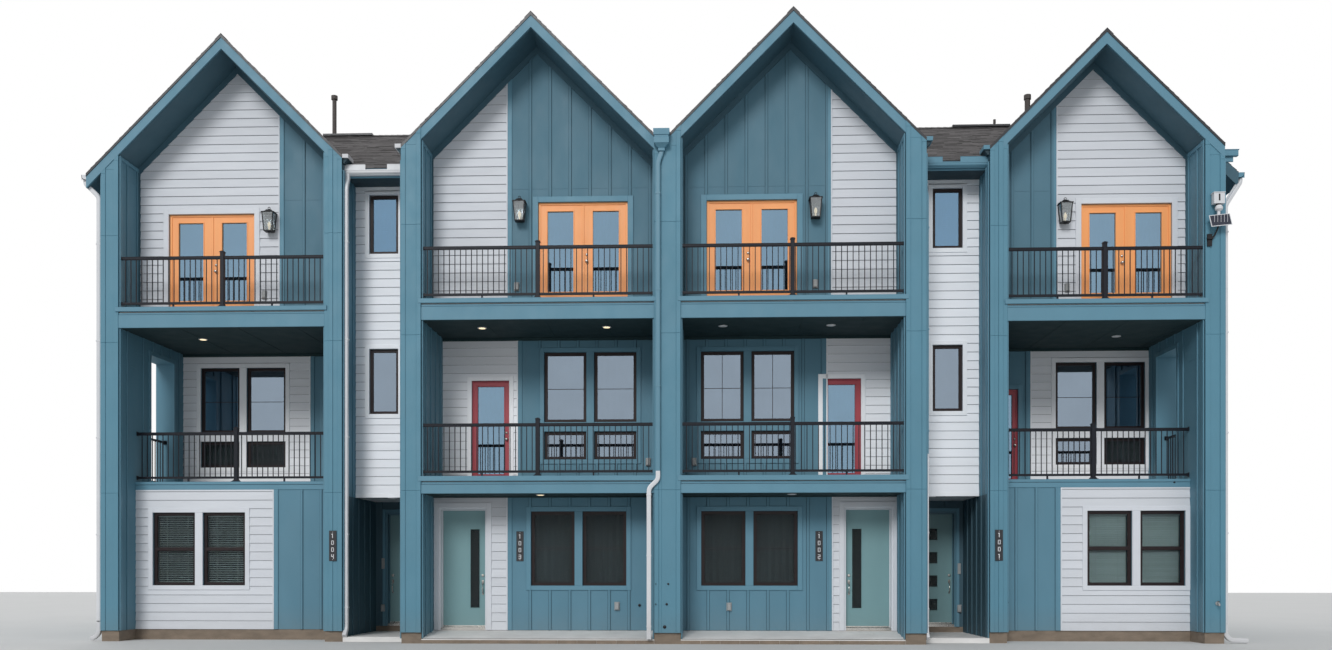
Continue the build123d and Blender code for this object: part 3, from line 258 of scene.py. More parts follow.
def by_place(name, first, second, tests):
    """Paint that is second between two X and above a Z of one of the tests, else first."""
    material = surface(name, first, *METAL, 0.3)
    tree = material.node_tree
    base = tree.nodes["Principled BSDF"].inputs["Base Color"]
    place = add(tree, "TexCoord", {})
    parts = add(tree, "SeparateXYZ", {"Vector": place.outputs["Object"]})

    def join(a, b, operation):
        return add(tree, "Math", {0: a, 1: b}, operation=operation).outputs["Value"]

    total = None
    for low_x, high_x, low_z in tests:
        one = join(join(parts.outputs["X"], low_x, "GREATER_THAN"),
                   join(parts.outputs["X"], high_x, "LESS_THAN"), "MULTIPLY")
        one = join(one, join(parts.outputs["Z"], low_z, "GREATER_THAN"), "MULTIPLY")
        total = one if total is None else join(total, one, "MAXIMUM")
    mix = add(tree, "Mix", {0: total, 6: base.links[0].from_socket, 7: (*second, 1.0)},
              data_type="RGBA")
    tree.links.new(mix.outputs[2], base)
    return material


TEAL = (0.096, 0.232, 0.312)
WHITE = (0.655, 0.68, 0.72)
WHITE_TRIM = tinted(WHITE, 1.04)
# Shared looks: roughness, tone, shade, grain, bump, its scale and dirt
BOARDS = (0.62, 0.05, 0.07, (1.2, 1.2, 0.5), 0.0012, (60, 60, 6))
TRIM = (0.55, 0.04, 0.05, (1.5, 1.5, 1.0), 0.0008, (50, 50, 8), 0.3)
LAPS = (0.6, 0.03, 0.06, (0.8, 0.8, 5), 0.0014, (5, 5, 70), 0.25)
CASINGS = (0.5, 0.03, 0.03, (2, 2, 2), 0.0006, (30, 30, 30), 0.25)
SHEETS = (0.7, 0.05, 0.05, (1.5, 1.5, 1.5), 0.001, (50, 6, 50))
GAPS = (0.7, 0.05, 0.0, (2, 2, 2), 0.0)
METAL = (0.4, 0.04, 0.0, (3, 3, 1), 0.0005, (12, 12, 2))
LOOKS = {
    "teal_board": (TEAL, *BOARDS, 0.35),
    # Darker copy of the teal board paint for the gables: painted shade under the roof overhang
    "teal_gable": (tinted(TEAL, 0.78), *BOARDS),
    # Much darker copy of the teal board paint for the passages: painted shade deep in the recess
    "teal_passage": (tinted(TEAL, 0.42), *BOARDS),
    "teal_wing": ((0.086, 0.234, 0.318), *TRIM),
    "teal_trim": (tinted(TEAL, 1.08), *TRIM),
    "teal_backing": (TEAL, 0.65, 0.06, 0.0, (1.0, 1.0, 0.6), 0.0012, (60, 60, 8), 0.3),
    "white_lap": (WHITE, *LAPS),
    # Lighter copies of the white paint for the middle storey and the bays: painted light that
    # makes up for the shade of the recesses
    "white_lap_bright": ((0.910, 0.930, 0.965), *LAPS),
    "white_trim_bright": ((0.925, 0.945, 0.975), *CASINGS),
    "white_trim": (WHITE_TRIM, *CASINGS),
    "white_aluminium": ((0.66, 0.67, 0.69), 0.38, *METAL[1:], 0.3),
    # Dark strip under each lap board: painted shadow of its bottom edge
    "lap_joint": (tinted(WHITE, 0.42), *GAPS),
    # Dark strip each side of a batten: a narrow gap, darkened as painted shadow
    "batten_seam": (tinted(TEAL, 0.45), *GAPS),
    # Half-bright copy of the teal paint for soffits and undersides: painted shade
    "soffit_teal": (tinted(TEAL, 0.50), *SHEETS),
    # Very dark copy of the teal for the bay eaves: painted shade
    "eave_soffit": (tinted(TEAL, 0.22), *SHEETS),
    # Nearly black teal for the soffits and friezes of the balcony and porch recesses: painted
    # shade
    "recess_soffit": ((0.010, 0.036, 0.042), 0.8, *SHEETS[1:]),
    "bronze_frame": ((0.020, 0.012, 0.013), 0.35, 0.10, 0.06, (8, 8, 8), 0.0003, (60, 60, 60),
                     0.0, 0.25),
    "orange_paint": ((1.00, 0.400, 0.135), 0.42, 0.04, 0.05, (2, 2, 1), 0.0005, (40, 40, 5)),
    "red_paint": ((0.395, 0.045, 0.065), 0.42, 0.05, 0.05, (2, 2, 1), 0.0005, (40, 40, 5)),
    "entry_paint": ((0.185, 0.340, 0.360), 0.45, 0.04, 0.05, (1.6, 1.6, 0.6), 0.0005,
                    (40, 40, 4), 0.2),
    "rail_paint": ((0.010, 0.012, 0.018), 0.42, 0.12, 0.05, (10, 10, 10), 0.0003,
                   (90, 90, 90), 0.0, 0.2),
    "trowelled_concrete": ((0.72, 0.71, 0.69), 0.85, 0.09, 0.0, (2.0, 2.0, 5.0), 0.002,
                           (30, 30, 60)),
    "plinth_stone": ((0.235, 0.185, 0.140), 0.9, 0.16, 0.10, (4.0, 4.0, 9.0), 0.004,
                     (24, 24, 36)),
    "granular_shingle": ((0.130, 0.122, 0.122), 0.92, 0.16, 0.45, (9, 9, 9), 0.0035,
                         (150, 150, 150), 0.0, 0.5, 0.0, 8.0),
    "drip_edge": ((0.016, 0.018, 0.022), 0.4, 0.1, 0.0, (6, 6, 6), 0.0003, (60, 60, 60)),
    "satin_nickel": ((0.55, 0.53, 0.50), 0.28, 0.05, 0.0, (20, 20, 20), 0.0002,
                     (200, 200, 200), 0.0, 0.5, 1.0),
    "lantern_black": ((0.012, 0.012, 0.014), 0.45, 0.15, 0.0, (12, 12, 12), 0.0004,
                      (80, 80, 80), 0.0, 0.25),
    "plaque_black": ((0.013, 0.014, 0.018), 0.4, 0.12, 0.0, (9, 9, 9), 0.0004, (60, 60, 60)),
    "numeral_white": ((0.72, 0.73, 0.75), 0.45, 0.03, 0.0, (9, 9, 9), 0.0003, (60, 60, 60)),
    "blind_slat": ((0.60, 0.60, 0.57), 0.55, 0.03, 0.10, (3, 3, 8), 0.0004, (20, 20, 60)),
    # Near black cloth behind the panes: painted shade of the rooms
    "dark_lining": ((0.020, 0.024, 0.028), 0.9, 0.3, 0.0, (1.2, 1.2, 0.5), 0.002, (30, 30, 3)),
    "pale_lining": ((0.45, 0.47, 0.47), 0.85, 0.08, 0.0, (1.2, 1.2, 0.5), 0.002, (60, 60, 8)),
    "fitting_grey": ((0.33, 0.34, 0.34), 0.5, 0.08, 0.0, (20, 20, 20), 0.0004, (90, 90, 90)),
    "vent_brown": ((0.055, 0.045, 0.040), 0.6, 0.12, 0.0, (8, 8, 8), 0.0006, (60, 60, 60)),
    "solar_cell": ((0.012, 0.016, 0.034), 0.2, 0.25, 0.0, (30, 4, 30), 0.0002, (60, 60, 60)),
    "deck_boards": ((0.52, 0.47, 0.42), 0.75, 0.10, 0.12, (3, 14, 3), 0.002, (10, 80, 10)),
    "floor_pale": ((0.60, 0.60, 0.59), 0.85, 0.015, 0.0, (0.4, 0.4, 0.4), 0.0),
}
PAINT = {name: surface(name, *look) for name, look in LOOKS.items()}
SPECIAL = {
    "pane_clear": (glazing, (0.50, 0.60, 0.62), 0.0, 0.97, 0.02, 1.15),
    # Blue tints of the metallic panes: painted sky reflection
    "pane_coated_top": (glazing, (0.265, 0.415, 0.55), 0.66, 0.95),
    "pane_coated_middle": (glazing, (0.33, 0.41, 0.50), 0.66, 0.95),
    "pane_coated_bay": (glazing, (0.24, 0.42, 0.60), 0.55, 0.95),
    "pane_lantern": (glazing, (0.62, 0.66, 0.68), 0.14, 0.9, 0.10),
    "lamp_lens": (glowing, (1.0, 0.80, 0.52), 1.1),
    "lamp_lens_off": (glowing, (0.75, 0.76, 0.78), 0.0),
    "spout_paint": (by_place, (0.66, 0.67, 0.69), TEAL, ((-0.5, 0.5, 3.42), (5.0, 6.0, 3.75))),
    # Jambs of the passage doors: teal paint, darkened as painted shade
    "jamb_paint": (by_place, WHITE_TRIM, tinted(TEAL, 0.8),
                   ((-6.6, -5.2, 0.0), (5.2, 6.6, 0.0))),
}
PAINT.update((name, make(name, *look)) for name, (make, *look) in SPECIAL.items())

# Finishes of the CAD nodes
CAD_PAINT = {
    "plinth_stone": "foundation",
    "trowelled_concrete": "porch_slabs",
    "deck_boards": "middle_floors top_floors",
    "white_trim": "bay_floors bay_walls",
    "teal_backing": "left_side_wall right_side_wall left_party_wall middle_party_wall "
                    "right_party_wall wing_walls ground_front_walls middle_front_walls "
                    "top_front_walls rear_walls",
    "teal_passage": "passage_walls wall_over_doors",
    "soffit_teal": "passage_ceilings left_roof_slopes right_roof_slopes bay_roof_fronts "
                   "bay_roof_backs",
    "teal_trim": "left_rake_boards right_rake_boards conductor_head",
    "bronze_frame": "window_frames rear_window_frames",
    "pane_coated_top": "rear_window_panes window_panes upper_door_panes",
    "orange_paint": "french_doors",
    "red_paint": "balcony_doors",
    "rail_paint": "middle_railings top_railings side_railings",
    "jamb_paint": "door_jambs door_heads",
    "satin_nickel": "door_sills door_hinges entry_handle_a entry_handle_b entry_handle_c "
                    "entry_handle_d",
    "white_aluminium": "gutters",
    "spout_paint": "downspouts",
    "vent_brown": "vent_pipes",
    "lantern_black": "lanterns",
    "plaque_black": "number_plaques",
    "entry_paint": "entry_door_a entry_door_b entry_door_c entry_door_d",
    "pane_clear": "entry_door_glass_a entry_door_glass_b entry_door_glass_c "
                  "entry_door_glass_d",
}
for paint, nodes in CAD_PAINT.items():
    for node in nodes.split():
        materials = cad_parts[node].data.materials
        materials.clear()
        materials.append(PAINT[paint])

# Tools for shapes
PIECES = []


def rod(points, y0, y1):
    """Rings of a bar along Y with the given outline in X and Z."""
    return [[(x, y, z) for x, z in points] for y in (y0, y1)]


def oblong(x0, x1, y0, y1, z):
    """Level ring of four corners."""
    return [(x0, y0, z), (x1, y0, z), (x1, y1, z), (x0, y1, z)]


def about(low, high, by):
    """Middle of two values, less and more by."""
    middle = (low + high) / 2
    return middle - by, middle + by


class Shape:
    """Corners and faces that become one piece, with its finish."""

    def __init__(self, name, paint, slot, replaces=(), body="house_row", smooth=False):
        self.name, self.paint, self.slot = name, paint, slot
        self.replaces, self.body, self.smooth = replaces, body, smooth
        self.corners, self.faces, self.shades = [], [], []
        PIECES.append(self)

    def loft(self, rings, shade=None):
        """Closed solid through rings that have as many corners each."""
        base, count, last = len(self.corners), len(rings[0]), len(rings) - 1
        for ring in rings:
            self.corners += [tuple(p) for p in ring]

        def at(level, i):
            return base + level * count + i % count

        made = [tuple(at(0, i) for i in range(count)),
                tuple(at(last, i) for i in reversed(range(count)))]
        made += [(at(k, i), at(k, i + 1), at(k + 1, i + 1), at(k + 1, i))
                 for k in range(last) for i in range(count)]
        self.faces += made
        self.shades += [rng.random() if shade is None else shade] * len(made)

    def box(self, low, high, shade=None):
        """Plain board between two corners."""
        (x0, y0, z0), (x1, y1, z1) = low, high
        self.loft([oblong(x0, x1, y0, y1, z) for z in (z0, z1)], shade)

    def tube(self, path, radius, sides=10, shade=0.5):
        """Round bar through points, one ring at each point."""
        points = [Vector(p) for p in path]
        rings = []
        for i, point in enumerate(points):
            ahead = points[min(i + 1, len(points) - 1)] - points[max(i - 1, 0)]
            ahead.normalize()
            side = ahead.cross(Vector((0, 0, 1)))
            if side.length < 1e-3:
                side = Vector((1, 0, 0))
            side.normalize()
            up = side.cross(ahead)
            r = radius[i] if isinstance(radius, (list, tuple)) else radius
            rings.append([point + r * (math.cos(2 * math.pi * k / sides) * side
                                       + math.sin(2 * math.pi * k / sides) * up)
                          for k in range(sides)])
        self.loft(rings, shade)

    def turned(self, centre, profile, sides=20, out=-1):
        """Round fitting on a street-facing surface, turned about its axis."""
        x, y, z = centre
        self.tube([(x, y + out * d, z) for d, _ in profile],
                  [max(r, 0.0005) for _, r in profile], sides)

    def build(self):
        """Turn what was collected into an object that rides a body."""
        mesh = bpy.data.meshes.new(self.name)
        mesh.from_pydata(self.corners, [], self.faces)
        work = bmesh.new()
        work.from_mesh(mesh)
        bmesh.ops.recalc_face_normals(work, faces=work.faces)
        work.to_mesh(mesh)
        work.free()
        tone = mesh.attributes.new("shade", "FLOAT", "FACE")
        tone.data.foreach_set("value", self.shades)
        mesh.polygons.foreach_set("use_smooth", [self.smooth] * len(mesh.polygons))
        item = bpy.data.objects.new(self.name, mesh)
        bpy.context.scene.collection.objects.link(item)
        mesh.materials.append(PAINT[self.paint])
        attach(item, self.body)
        if self.replaces:
            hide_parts(*self.replaces)


class Wall:
    """Upright face: u along it, v up and w out of it."""

    def __init__(self, axis, at, out):
        self.axis, self.at, self.out = axis, at, out

    def point(self, u, v, w):
        away = self.at + self.out * w
        return (u, away, v) if self.axis == "y" else (away, u, v)

    def ring(self, u0, u1, v0, v1, w):
        return [self.point(u, v, w) for u, v in ((u0, v0), (u1, v0), (u1, v1), (u0, v1))]

    def shelf(self, u0, u1, v, w):
        """Level outline between the wall and w out of it."""
        return [self.point(u, v, out) for u, out in ((u0, 0), (u1, 0), (u1, w), (u0, w))]

    def slab(self, shape, u0, u1, v0, v1, w0, w1, shade=None):
        """Board on the wall, from w0 to w1 out of it."""
        shape.loft([self.ring(u0, u1, v0, v1, w) for w in (w0, w1)], shade)

    def board(self, shape, u0, u1, v0, v1, w1, w0=0.0, edge=0.004, shade=None):
        """Board with eased front edges."""
        e = min(edge, (u1 - u0) / 3, (v1 - v0) / 3, (w1 - w0) / 2)
        shape.loft([self.ring(u0 + i, u1 - i, v0 + i, v1 - i, w)
                    for i, w in ((0, w0), (0, w1 - e), (e, w1))], shade)


def street(y):
    return Wall("y", y, -1)


def facing(x, out):
    return Wall("x", x, out)


class Zone:
    """Part of a wall to be clad, with straight or sloping sides and square holes."""

    def __init__(self, u0, u1, v0, v1, holes=(), kinks=(), left=None, right=None):
        self.u0, self.u1, self.v0, self.v1, self.kinks = u0, u1, v0, v1, kinks
        self.holes = [h for h in holes if h[1] > u0 and h[0] < u1 and h[3] > v0 and h[2] < v1]
        self.left = left or (lambda v: u0)
        self.right = right or (lambda v: u1)

    def levels(self, low, high):
        """Heights at which the clad outline changes between low and high."""
        cuts = {v for h in self.holes for v in h[2:]} | set(self.kinks)
        return sorted({low, high} | {v for v in cuts if low + 1e-4 < v < high - 1e-4})

    def spans(self, a, b):
        """Clad spans between heights a and b, as left low, left high, right low, right high."""
        middle = (a + b) / 2
        spans = []
        la, lb = self.left(a + 1e-6), self.left(b - 1e-6)
        for h in sorted(h for h in self.holes if h[2] < middle < h[3]):
            if h[0] > min(la, lb) + 1e-4:
                spans.append((la, lb, h[0], h[0]))
            la = lb = max(h[1], la) if la == lb else h[1]
        ra, rb = self.right(a + 1e-6), self.right(b - 1e-6)
        if max(ra, rb) > min(la, lb) + 1e-4:
            spans.append((la, lb, max(ra, la), max(rb, lb)))
        return spans

    def rise(self, u):
        """Height of the top of the clad outline at u."""
        low, high = self.v0, self.v1
        if self.left(high) <= u <= self.right(high):
            return high
        for _ in range(30):
            middle = (low + high) / 2
            if self.left(middle) <= u <= self.right(middle):
                low = middle
            else:
                high = middle
        return low


def band(low, high):
    """Opening of a solid seen from the street: left, right, bottom and top."""
    return (low[0], high[0], low[2], high[2])


def grown(opening, by):
    u0, u1, v0, v1 = opening
    return (u0 - by, u1 + by, v0 - by, v1 + by)


def strips_round(opening, width, foot=True):
    """Strips round an opening: its sides at full height, then its foot and its head."""
    u0, u1, v0, v1 = opening
    low = v0 - width if foot else v0
    strips = [(u0 - width, u0, low, v1 + width), (u1, u1 + width, low, v1 + width)]
    return strips + [(u0, u1, low, v0)] * foot + [(u0, u1, v1, v1 + width)]


def within(house, boxes, wall_y):
    """Openings of a house that lie in the wall at wall_y."""
    return [band(low, high) for low, high in boxes
            if house.left - 0.01 < (low[0] + high[0]) / 2 < house.right + 0.01
            and abs(low[1] - wall_y - 0.04) < 0.02]


# Cladding

white = Shape("lap_siding", "white_lap", "white_siding")
# Painted shadow lines under the bottom edges of the lap boards
lap_shadows = Shape("lap_joints", "lap_joint", "white_siding")
# Dark strips beside the battens: a gap and painted shadow
batten_shadows = Shape("batten_seams", "batten_seam", "teal_siding")
white_trim = Shape("white_casings", "white_trim", "white_siding")
# Lighter white siding and casings for the middle storey and the bays: painted light
painted_light_lap = Shape("lap_siding_recessed", "white_lap_bright", "white_siding")
painted_light_trim = Shape("white_casings_recessed", "white_trim_bright", "white_siding")
teal = Shape("board_and_batten", "teal_board", "teal_siding")
# Gable boards take a darker teal as painted shade
gable_teal = Shape("gable_boards", "teal_gable", "teal_siding")
# Passage boards take a much darker teal as painted shade
passage_teal = Shape("passage_boards", "teal_passage", "teal_siding")
teal_trim = Shape("teal_casings", "teal_trim", "trim")
LAP = 0.182
LAP_BOTTOM, LAP_TOP = 0.026, 0.006
LAP_SHADOW = 0.007
SHEET = 0.010
BATTEN = 0.050
BATTEN_OUT = 0.032
BATTEN_PITCH = 0.41
SHEET_TALL = 2.75
GABLE_SHEET_TALL = 2.44
FRONT_STARTS = {"a": (0.59, 0.516), "b": (0.47, 0.47)}
SHADOW_STRIP = 0.009
CASING = 0.095
CORNER = 0.09
STRIP = 0.028


def lap_siding(shape, wall, zone):
    """Horizontal boards, each thicker at its bottom edge, with a dark strip under each edge as
    painted shadow.
    """
    course = zone.v0
    while course < zone.v1 - 1e-3:
        top = min(course + LAP, zone.v1)
        tone = rng.random()
        cuts = zone.levels(course, top)
        for a, b in zip(cuts, cuts[1:]):
            wa, wb = (LAP_BOTTOM + (LAP_TOP - LAP_BOTTOM) * (v - course) / LAP for v in (a, b))
            for la, lb, ra, rb in zone.spans(a, b):
                shape.loft([wall.shelf(la, ra, a, wa), wall.shelf(lb, rb, b, wb)], tone)
                if b == top < zone.v1 and min(ra, rb) - max(la, lb) > 0.03:
                    wall.slab(lap_shadows, max(la, lb), min(ra, rb), b - LAP_SHADOW, b, 0.0,
                              LAP_TOP + 0.003)
        course = top


def board_and_batten(shape, wall, zone, start, breaks=()):
    """Flat sheets with upright battens over them, the first one at start; a dark strip beside each
    batten is a narrow gap darkened as painted shadow.
    """
    cuts = zone.levels(zone.v0, zone.v1)
    for a, b in zip(cuts, cuts[1:]):
        for la, lb, ra, rb in zone.spans(a, b):
            shape.loft([wall.shelf(la, ra, a, SHEET), wall.shelf(lb, rb, b, SHEET)], 0.5)
    u = zone.u0 + start
    while u < zone.u1 - BATTEN:
        runs = [(zone.v0, zone.rise(u) - 0.002)]
        for h in zone.holes:
            if h[0] - BATTEN / 2 < u < h[1] + BATTEN / 2:
                cut = []
                for a, b in runs:
                    if h[2] > a:
                        cut.append((a, min(b, h[2])))
                    if h[3] < b:
                        cut.append((max(a, h[3]), b))
                runs = cut
        for a, b in runs:
            if b - a > 0.05:
                wall.board(shape, u - BATTEN / 2, u + BATTEN / 2, a, b, BATTEN_OUT,
                           SHEET - 0.002)
                for side in (-1, 1):
                    near, far = sorted((u + side * BATTEN / 2, u + side * (BATTEN / 2 + SHADOW_STRIP)))
                    wall.slab(batten_shadows, near, far, a, b, SHEET - 0.002, SHEET + 0.001)
        u += BATTEN_PITCH
    for joint in breaks:
        for la, lb, ra, rb in zone.spans(joint - 0.004, joint + 0.004):
            wall.slab(shape, la, ra, joint - 0.005, joint + 0.005, SHEET, SHEET + 0.004, 0.2)


def casing(shape, wall, opening, width=CASING, out=0.034, foot=True):
    """Boards round an opening."""
    for strip in strips_round(opening, width, foot):
        wall.board(shape, *strip, out)


def cased(shape, wall, openings, width=CORNER):
    """Casing round each opening. Returns the boxes they cover."""
    for opening in openings:
        casing(shape, wall, opening, width)
    return [grown(opening, width) for opening in openings]


def trimmed_group(wall, openings, trim):
    """Casing round a group of windows, with boards between them. Returns the box it covers."""
    lows_u, highs_u, lows_v, highs_v = zip(*openings)
    whole = (min(lows_u), max(highs_u), min(lows_v), max(highs_v))
    casing(trim, wall, whole)
    columns = sorted({(o[0], o[1]) for o in openings})
    rows = sorted({(o[2], o[3]) for o in openings})
    for (_, right), (left, _) in zip(columns, columns[1:]):
        wall.board(trim, right, left, whole[2], whole[3], 0.032)
    for (_, top), (bottom, _) in zip(rows, rows[1:]):
        for left, right in columns:
            wall.board(trim, left, right, top, bottom, 0.030)
    return grown(whole, CASING)


def door_case(wall, opening, trim, width=CASING, out=0.034):
    """Casing of a door, without a bottom board. Returns the box it covers."""
    casing(trim, wall, opening, width, out, foot=False)
    return (opening[0] - width, opening[1] + width, opening[2] - 0.3, opening[3] + width)


def front_zone(house, wall_y, low, high, split, holes, gable=False, lap=white,
               lap_trim=white_trim):
    """White and teal cladding of one storey, either side of the split."""
    wall = street(wall_y)
    kinks = ((house.soffit(house.left), house.soffit(house.right), house.soffit(split),
              house.soffit(house.left + 0.01)) if gable else ())

    def zone(u0, u1):
        limits = house.limits(u0, u1) if gable else ()
        return Zone(u0, u1, low, top, holes, kinks, *limits)

    def edge_top(u, short):
        return min(top, house.soffit(u) - short) if gable else top

    for side, u0, u1 in (("left", house.left, split), ("right", split, house.right)):
        left = side == "left"
        top = house.soffit(min(max(house.mid, u0), u1)) - 0.01 if gable else high
        if side == house.white_side:
            near = u1 - STRIP if left else u0
            lap_siding(lap, wall, zone(u0, near) if left else zone(near + STRIP, u1))
            wall.board(lap_trim, near, near + STRIP, low, edge_top(near + STRIP / 2, STRIP),
                       0.034)
            continue
        near = u1 - CORNER if left else u0
        start = (near - 0.40 - u0) % BATTEN_PITCH if left else FRONT_STARTS[house.name][low > 1]
        board_and_batten(gable_teal if gable else teal, wall, zone(u0, u1), start,
                         (low + GABLE_SHEET_TALL,) if gable else ())
        wall.board(teal_trim, near, near + CORNER, low, edge_top(near + CORNER / 2, CORNER),
                   0.030)


def entry_opening(letter):
    """Outside of the jambs and head of an entry door."""
    low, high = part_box(f"entry_door_{letter}")
    return (low.x - 0.045, high.x + 0.045, GROUND_FLOOR, high.z + 0.045)


# Wall finishes of the four fronts
for house, french, balcony in zip(HOUSES, FRENCH, BALCONY_DOORS):
    outer = house.outer
    wall = street(house.ground)
    covered = [trimmed_group(wall, within(house, WINDOWS, house.ground),
                             white_trim if outer else teal_trim)]
    if not outer:
        covered.append(door_case(wall, entry_opening(house.name), white_trim, 0.10, 0.036))
    front_zone(house, house.ground, GROUND_FLOOR, GROUND_TOP if outer else MIDDLE_SOFFIT,
               house.splits[0], covered)
    wall = street(house.middle)
    covered = [trimmed_group(wall, within(house, WINDOWS, house.middle),
                             painted_light_trim if outer else teal_trim),
               door_case(wall, band(*balcony), teal_trim if outer else painted_light_trim)]
    front_zone(house, house.middle, MIDDLE_FLOOR, TOP_SOFFIT, house.splits[1], covered,
               lap=painted_light_lap, lap_trim=painted_light_trim)
    covered = [door_case(street(house.top), band(*french), white_trim if outer else teal_trim,
                         0.115)]
    front_zone(house, house.top, TOP_FLOOR, house.ridge, house.splits[2], covered, gable=True)

# Bay fronts
for left, right in BAYS:
    wall = street(BAY_WALL)
    covered = cased(painted_light_trim, wall, [band(low, high) for low, high in WINDOWS
                                        if left < low[0] < right and high[2] > MIDDLE_SOFFIT])
    lap_siding(painted_light_lap, wall, Zone(left, right, MIDDLE_SOFFIT + 0.09, BAY_TOP - 0.10, covered))
    wall.board(painted_light_trim, left, right, MIDDLE_SOFFIT, MIDDLE_SOFFIT + 0.09, 0.030)
    wall.board(painted_light_trim, left, right, BAY_TOP - 0.10, BAY_TOP, 0.034)

# Back walls of the passages
for letter, (left, right) in zip("ad", BAYS):
    wall = street(PASSAGE_WALL)
    covered = [door_case(wall, entry_opening(letter), teal_trim, 0.07)]
    board_and_batten(passage_teal, wall, Zone(left, right, GROUND_FLOOR, MIDDLE_SOFFIT, covered),
                     0.14)


# Faces of the wings, inside the balconies and beside the bays
def wing_face(x, out, y0, y1, z0, z1, holes=(), start=0.10, corner=True, boards=teal):
    """Board and batten on a face that runs back from the street."""
    wall = facing(x, out)
    board_and_batten(boards, wall, Zone(y0, y1, z0, z1, holes), start + BATTEN_PITCH * 0.5,
                     (z0 + SHEET_TALL,) if z0 + SHEET_TALL < z1 - 0.2 else ())
    if corner:
        wall.board(teal_trim, y0, y0 + CORNER, z0, z1, 0.030)


SIDE_HOLE = (SIDE_Y0, SIDE_Y1, MIDDLE_FLOOR, SIDE_TOP)
for house in HOUSES:
    for x, out in ((house.left, 1), (house.right, -1)):
        front = house.front
        if house.outer:
            end_wall = (house, out) in ((A, 1), (D, -1))
            wing_face(x, out, front, house.ground, GROUND_FLOOR, MIDDLE_SOFFIT)
            wing_face(x, out, front, house.edge, MIDDLE_SOFFIT, TOP_SOFFIT)
            wing_face(x, out, house.edge, house.middle, MIDDLE_FLOOR, TOP_SOFFIT,
                      [grown(SIDE_HOLE, 0.09)] if end_wall else (), corner=False)
            if end_wall:
                casing(teal_trim, facing(x, out), SIDE_HOLE, 0.09, foot=False)
        else:
            wing_face(x, out, front, house.ground, PORCH, MIDDLE_SOFFIT)
            wing_face(x, out, front, house.middle, MIDDLE_FLOOR, TOP_SOFFIT)
        wing_face(x, out, front, house.top, TOP_FLOOR, house.soffit(x) - 0.002)
for x, out, house in BAY_SIDES:
    wing_face(x, out, house.front, PASSAGE_WALL, PORCH, MIDDLE_SOFFIT, start=0.0,
              boards=passage_teal)
    wing_face(x, out, house.front, BAY_WALL, MIDDLE_SOFFIT, house.soffit(x), start=0.0)

# End walls of the row and the back
for x, out, house in ((A_OUTER, -1, A), (D_OUTER, 1, D)):
    wall = facing(x, out)
    casing(teal_trim, wall, SIDE_HOLE, 0.09)
    board_and_batten(teal, wall, Zone(house.front, REAR, GROUND_FLOOR, house.soffit(x),
                                      [grown(SIDE_HOLE, 0.09)]),
                     0.30, (MIDDLE_SOFFIT, TOP_SOFFIT))
    for y in (house.front, REAR - CORNER):
        wall.board(teal_trim, y, y + CORNER, GROUND_FLOOR, house.soffit(x), 0.034)

back_wall = Wall("y", REAR, 1)
STOREYS = (2.0, 5.4, 8.6)
rear_holes = [band(low, high) for low, high in REAR_WINDOWS]


def rear_between(left, right):
    return [h for h in rear_holes if left < (h[0] + h[1]) / 2 < right]


for house in HOUSES:
    left, right = house.roof_left, house.roof_right
    own = rear_between(left, right)
    covered = [trimmed_group(back_wall, [h for h in own if h[2] < storey < h[3]], teal_trim)
               for storey in STOREYS]
    lap_siding(white, back_wall, Zone(left, right, GROUND_FLOOR, house.ridge - ROOF_DEPTH - 0.01,
                                      covered, (house.soffit(left), house.soffit(right)),
                                      *house.limits(left, right)))
    for u in (left, right - CORNER):
        back_wall.board(teal_trim, u, u + CORNER, GROUND_FLOOR, house.soffit(left) - 0.05, 0.034)
for left, right in BAYS:
    covered = cased(teal_trim, back_wall, rear_between(left, right))
    lap_siding(white, back_wall, Zone(left, right, GROUND_FLOOR, BAY_TOP - 0.05, covered))

# Wing fronts: corner boards and a panel set back between them. Where the rake board ends at a
# mitre, the wing's boards run up in front of it to the edge of the roof.
wings = Shape("wing_boards", "teal_wing", "trim")
JOINTS = (3.05, 6.15, 8.35)
UNDER_DRIP = 0.055
UNDER_RAKE = (0.026, 0.038)
OVER_RAKE = (0.044, 0.056)


def wing_strip(house, u0, u1, top, out):
    """Upright strip of a wing front, in lengths, under the line that top gives."""
    wall = street(house.front)
    low = GROUND_FLOOR
    for joint in (*JOINTS, min(top(u0), top(u1)) - 0.02):
        wall.board(wings, u0, u1, low, joint - 0.002, out, shade=0.5)
        low = joint
    outline = ((u0, low), (u1, low), (u1, top(u1)), (u0, top(u0)))
    wings.loft([[wall.point(u, v, w) for u, v in outline] for w in (0, out)], 0.5)


def wing_front(house, u0, u1, top, panel, corner):
    """Front of a wing with its corner boards; top gives the height of its edge."""
    for a, b, out in ((u0, u0 + CORNER, corner), (u1 - CORNER, u1, corner),
                      (u0 + CORNER, u1 - CORNER, panel)):
        wing_strip(house, a, b, top, out)


def under_roof(house):
    return lambda u: house.roof(u) - UNDER_DRIP


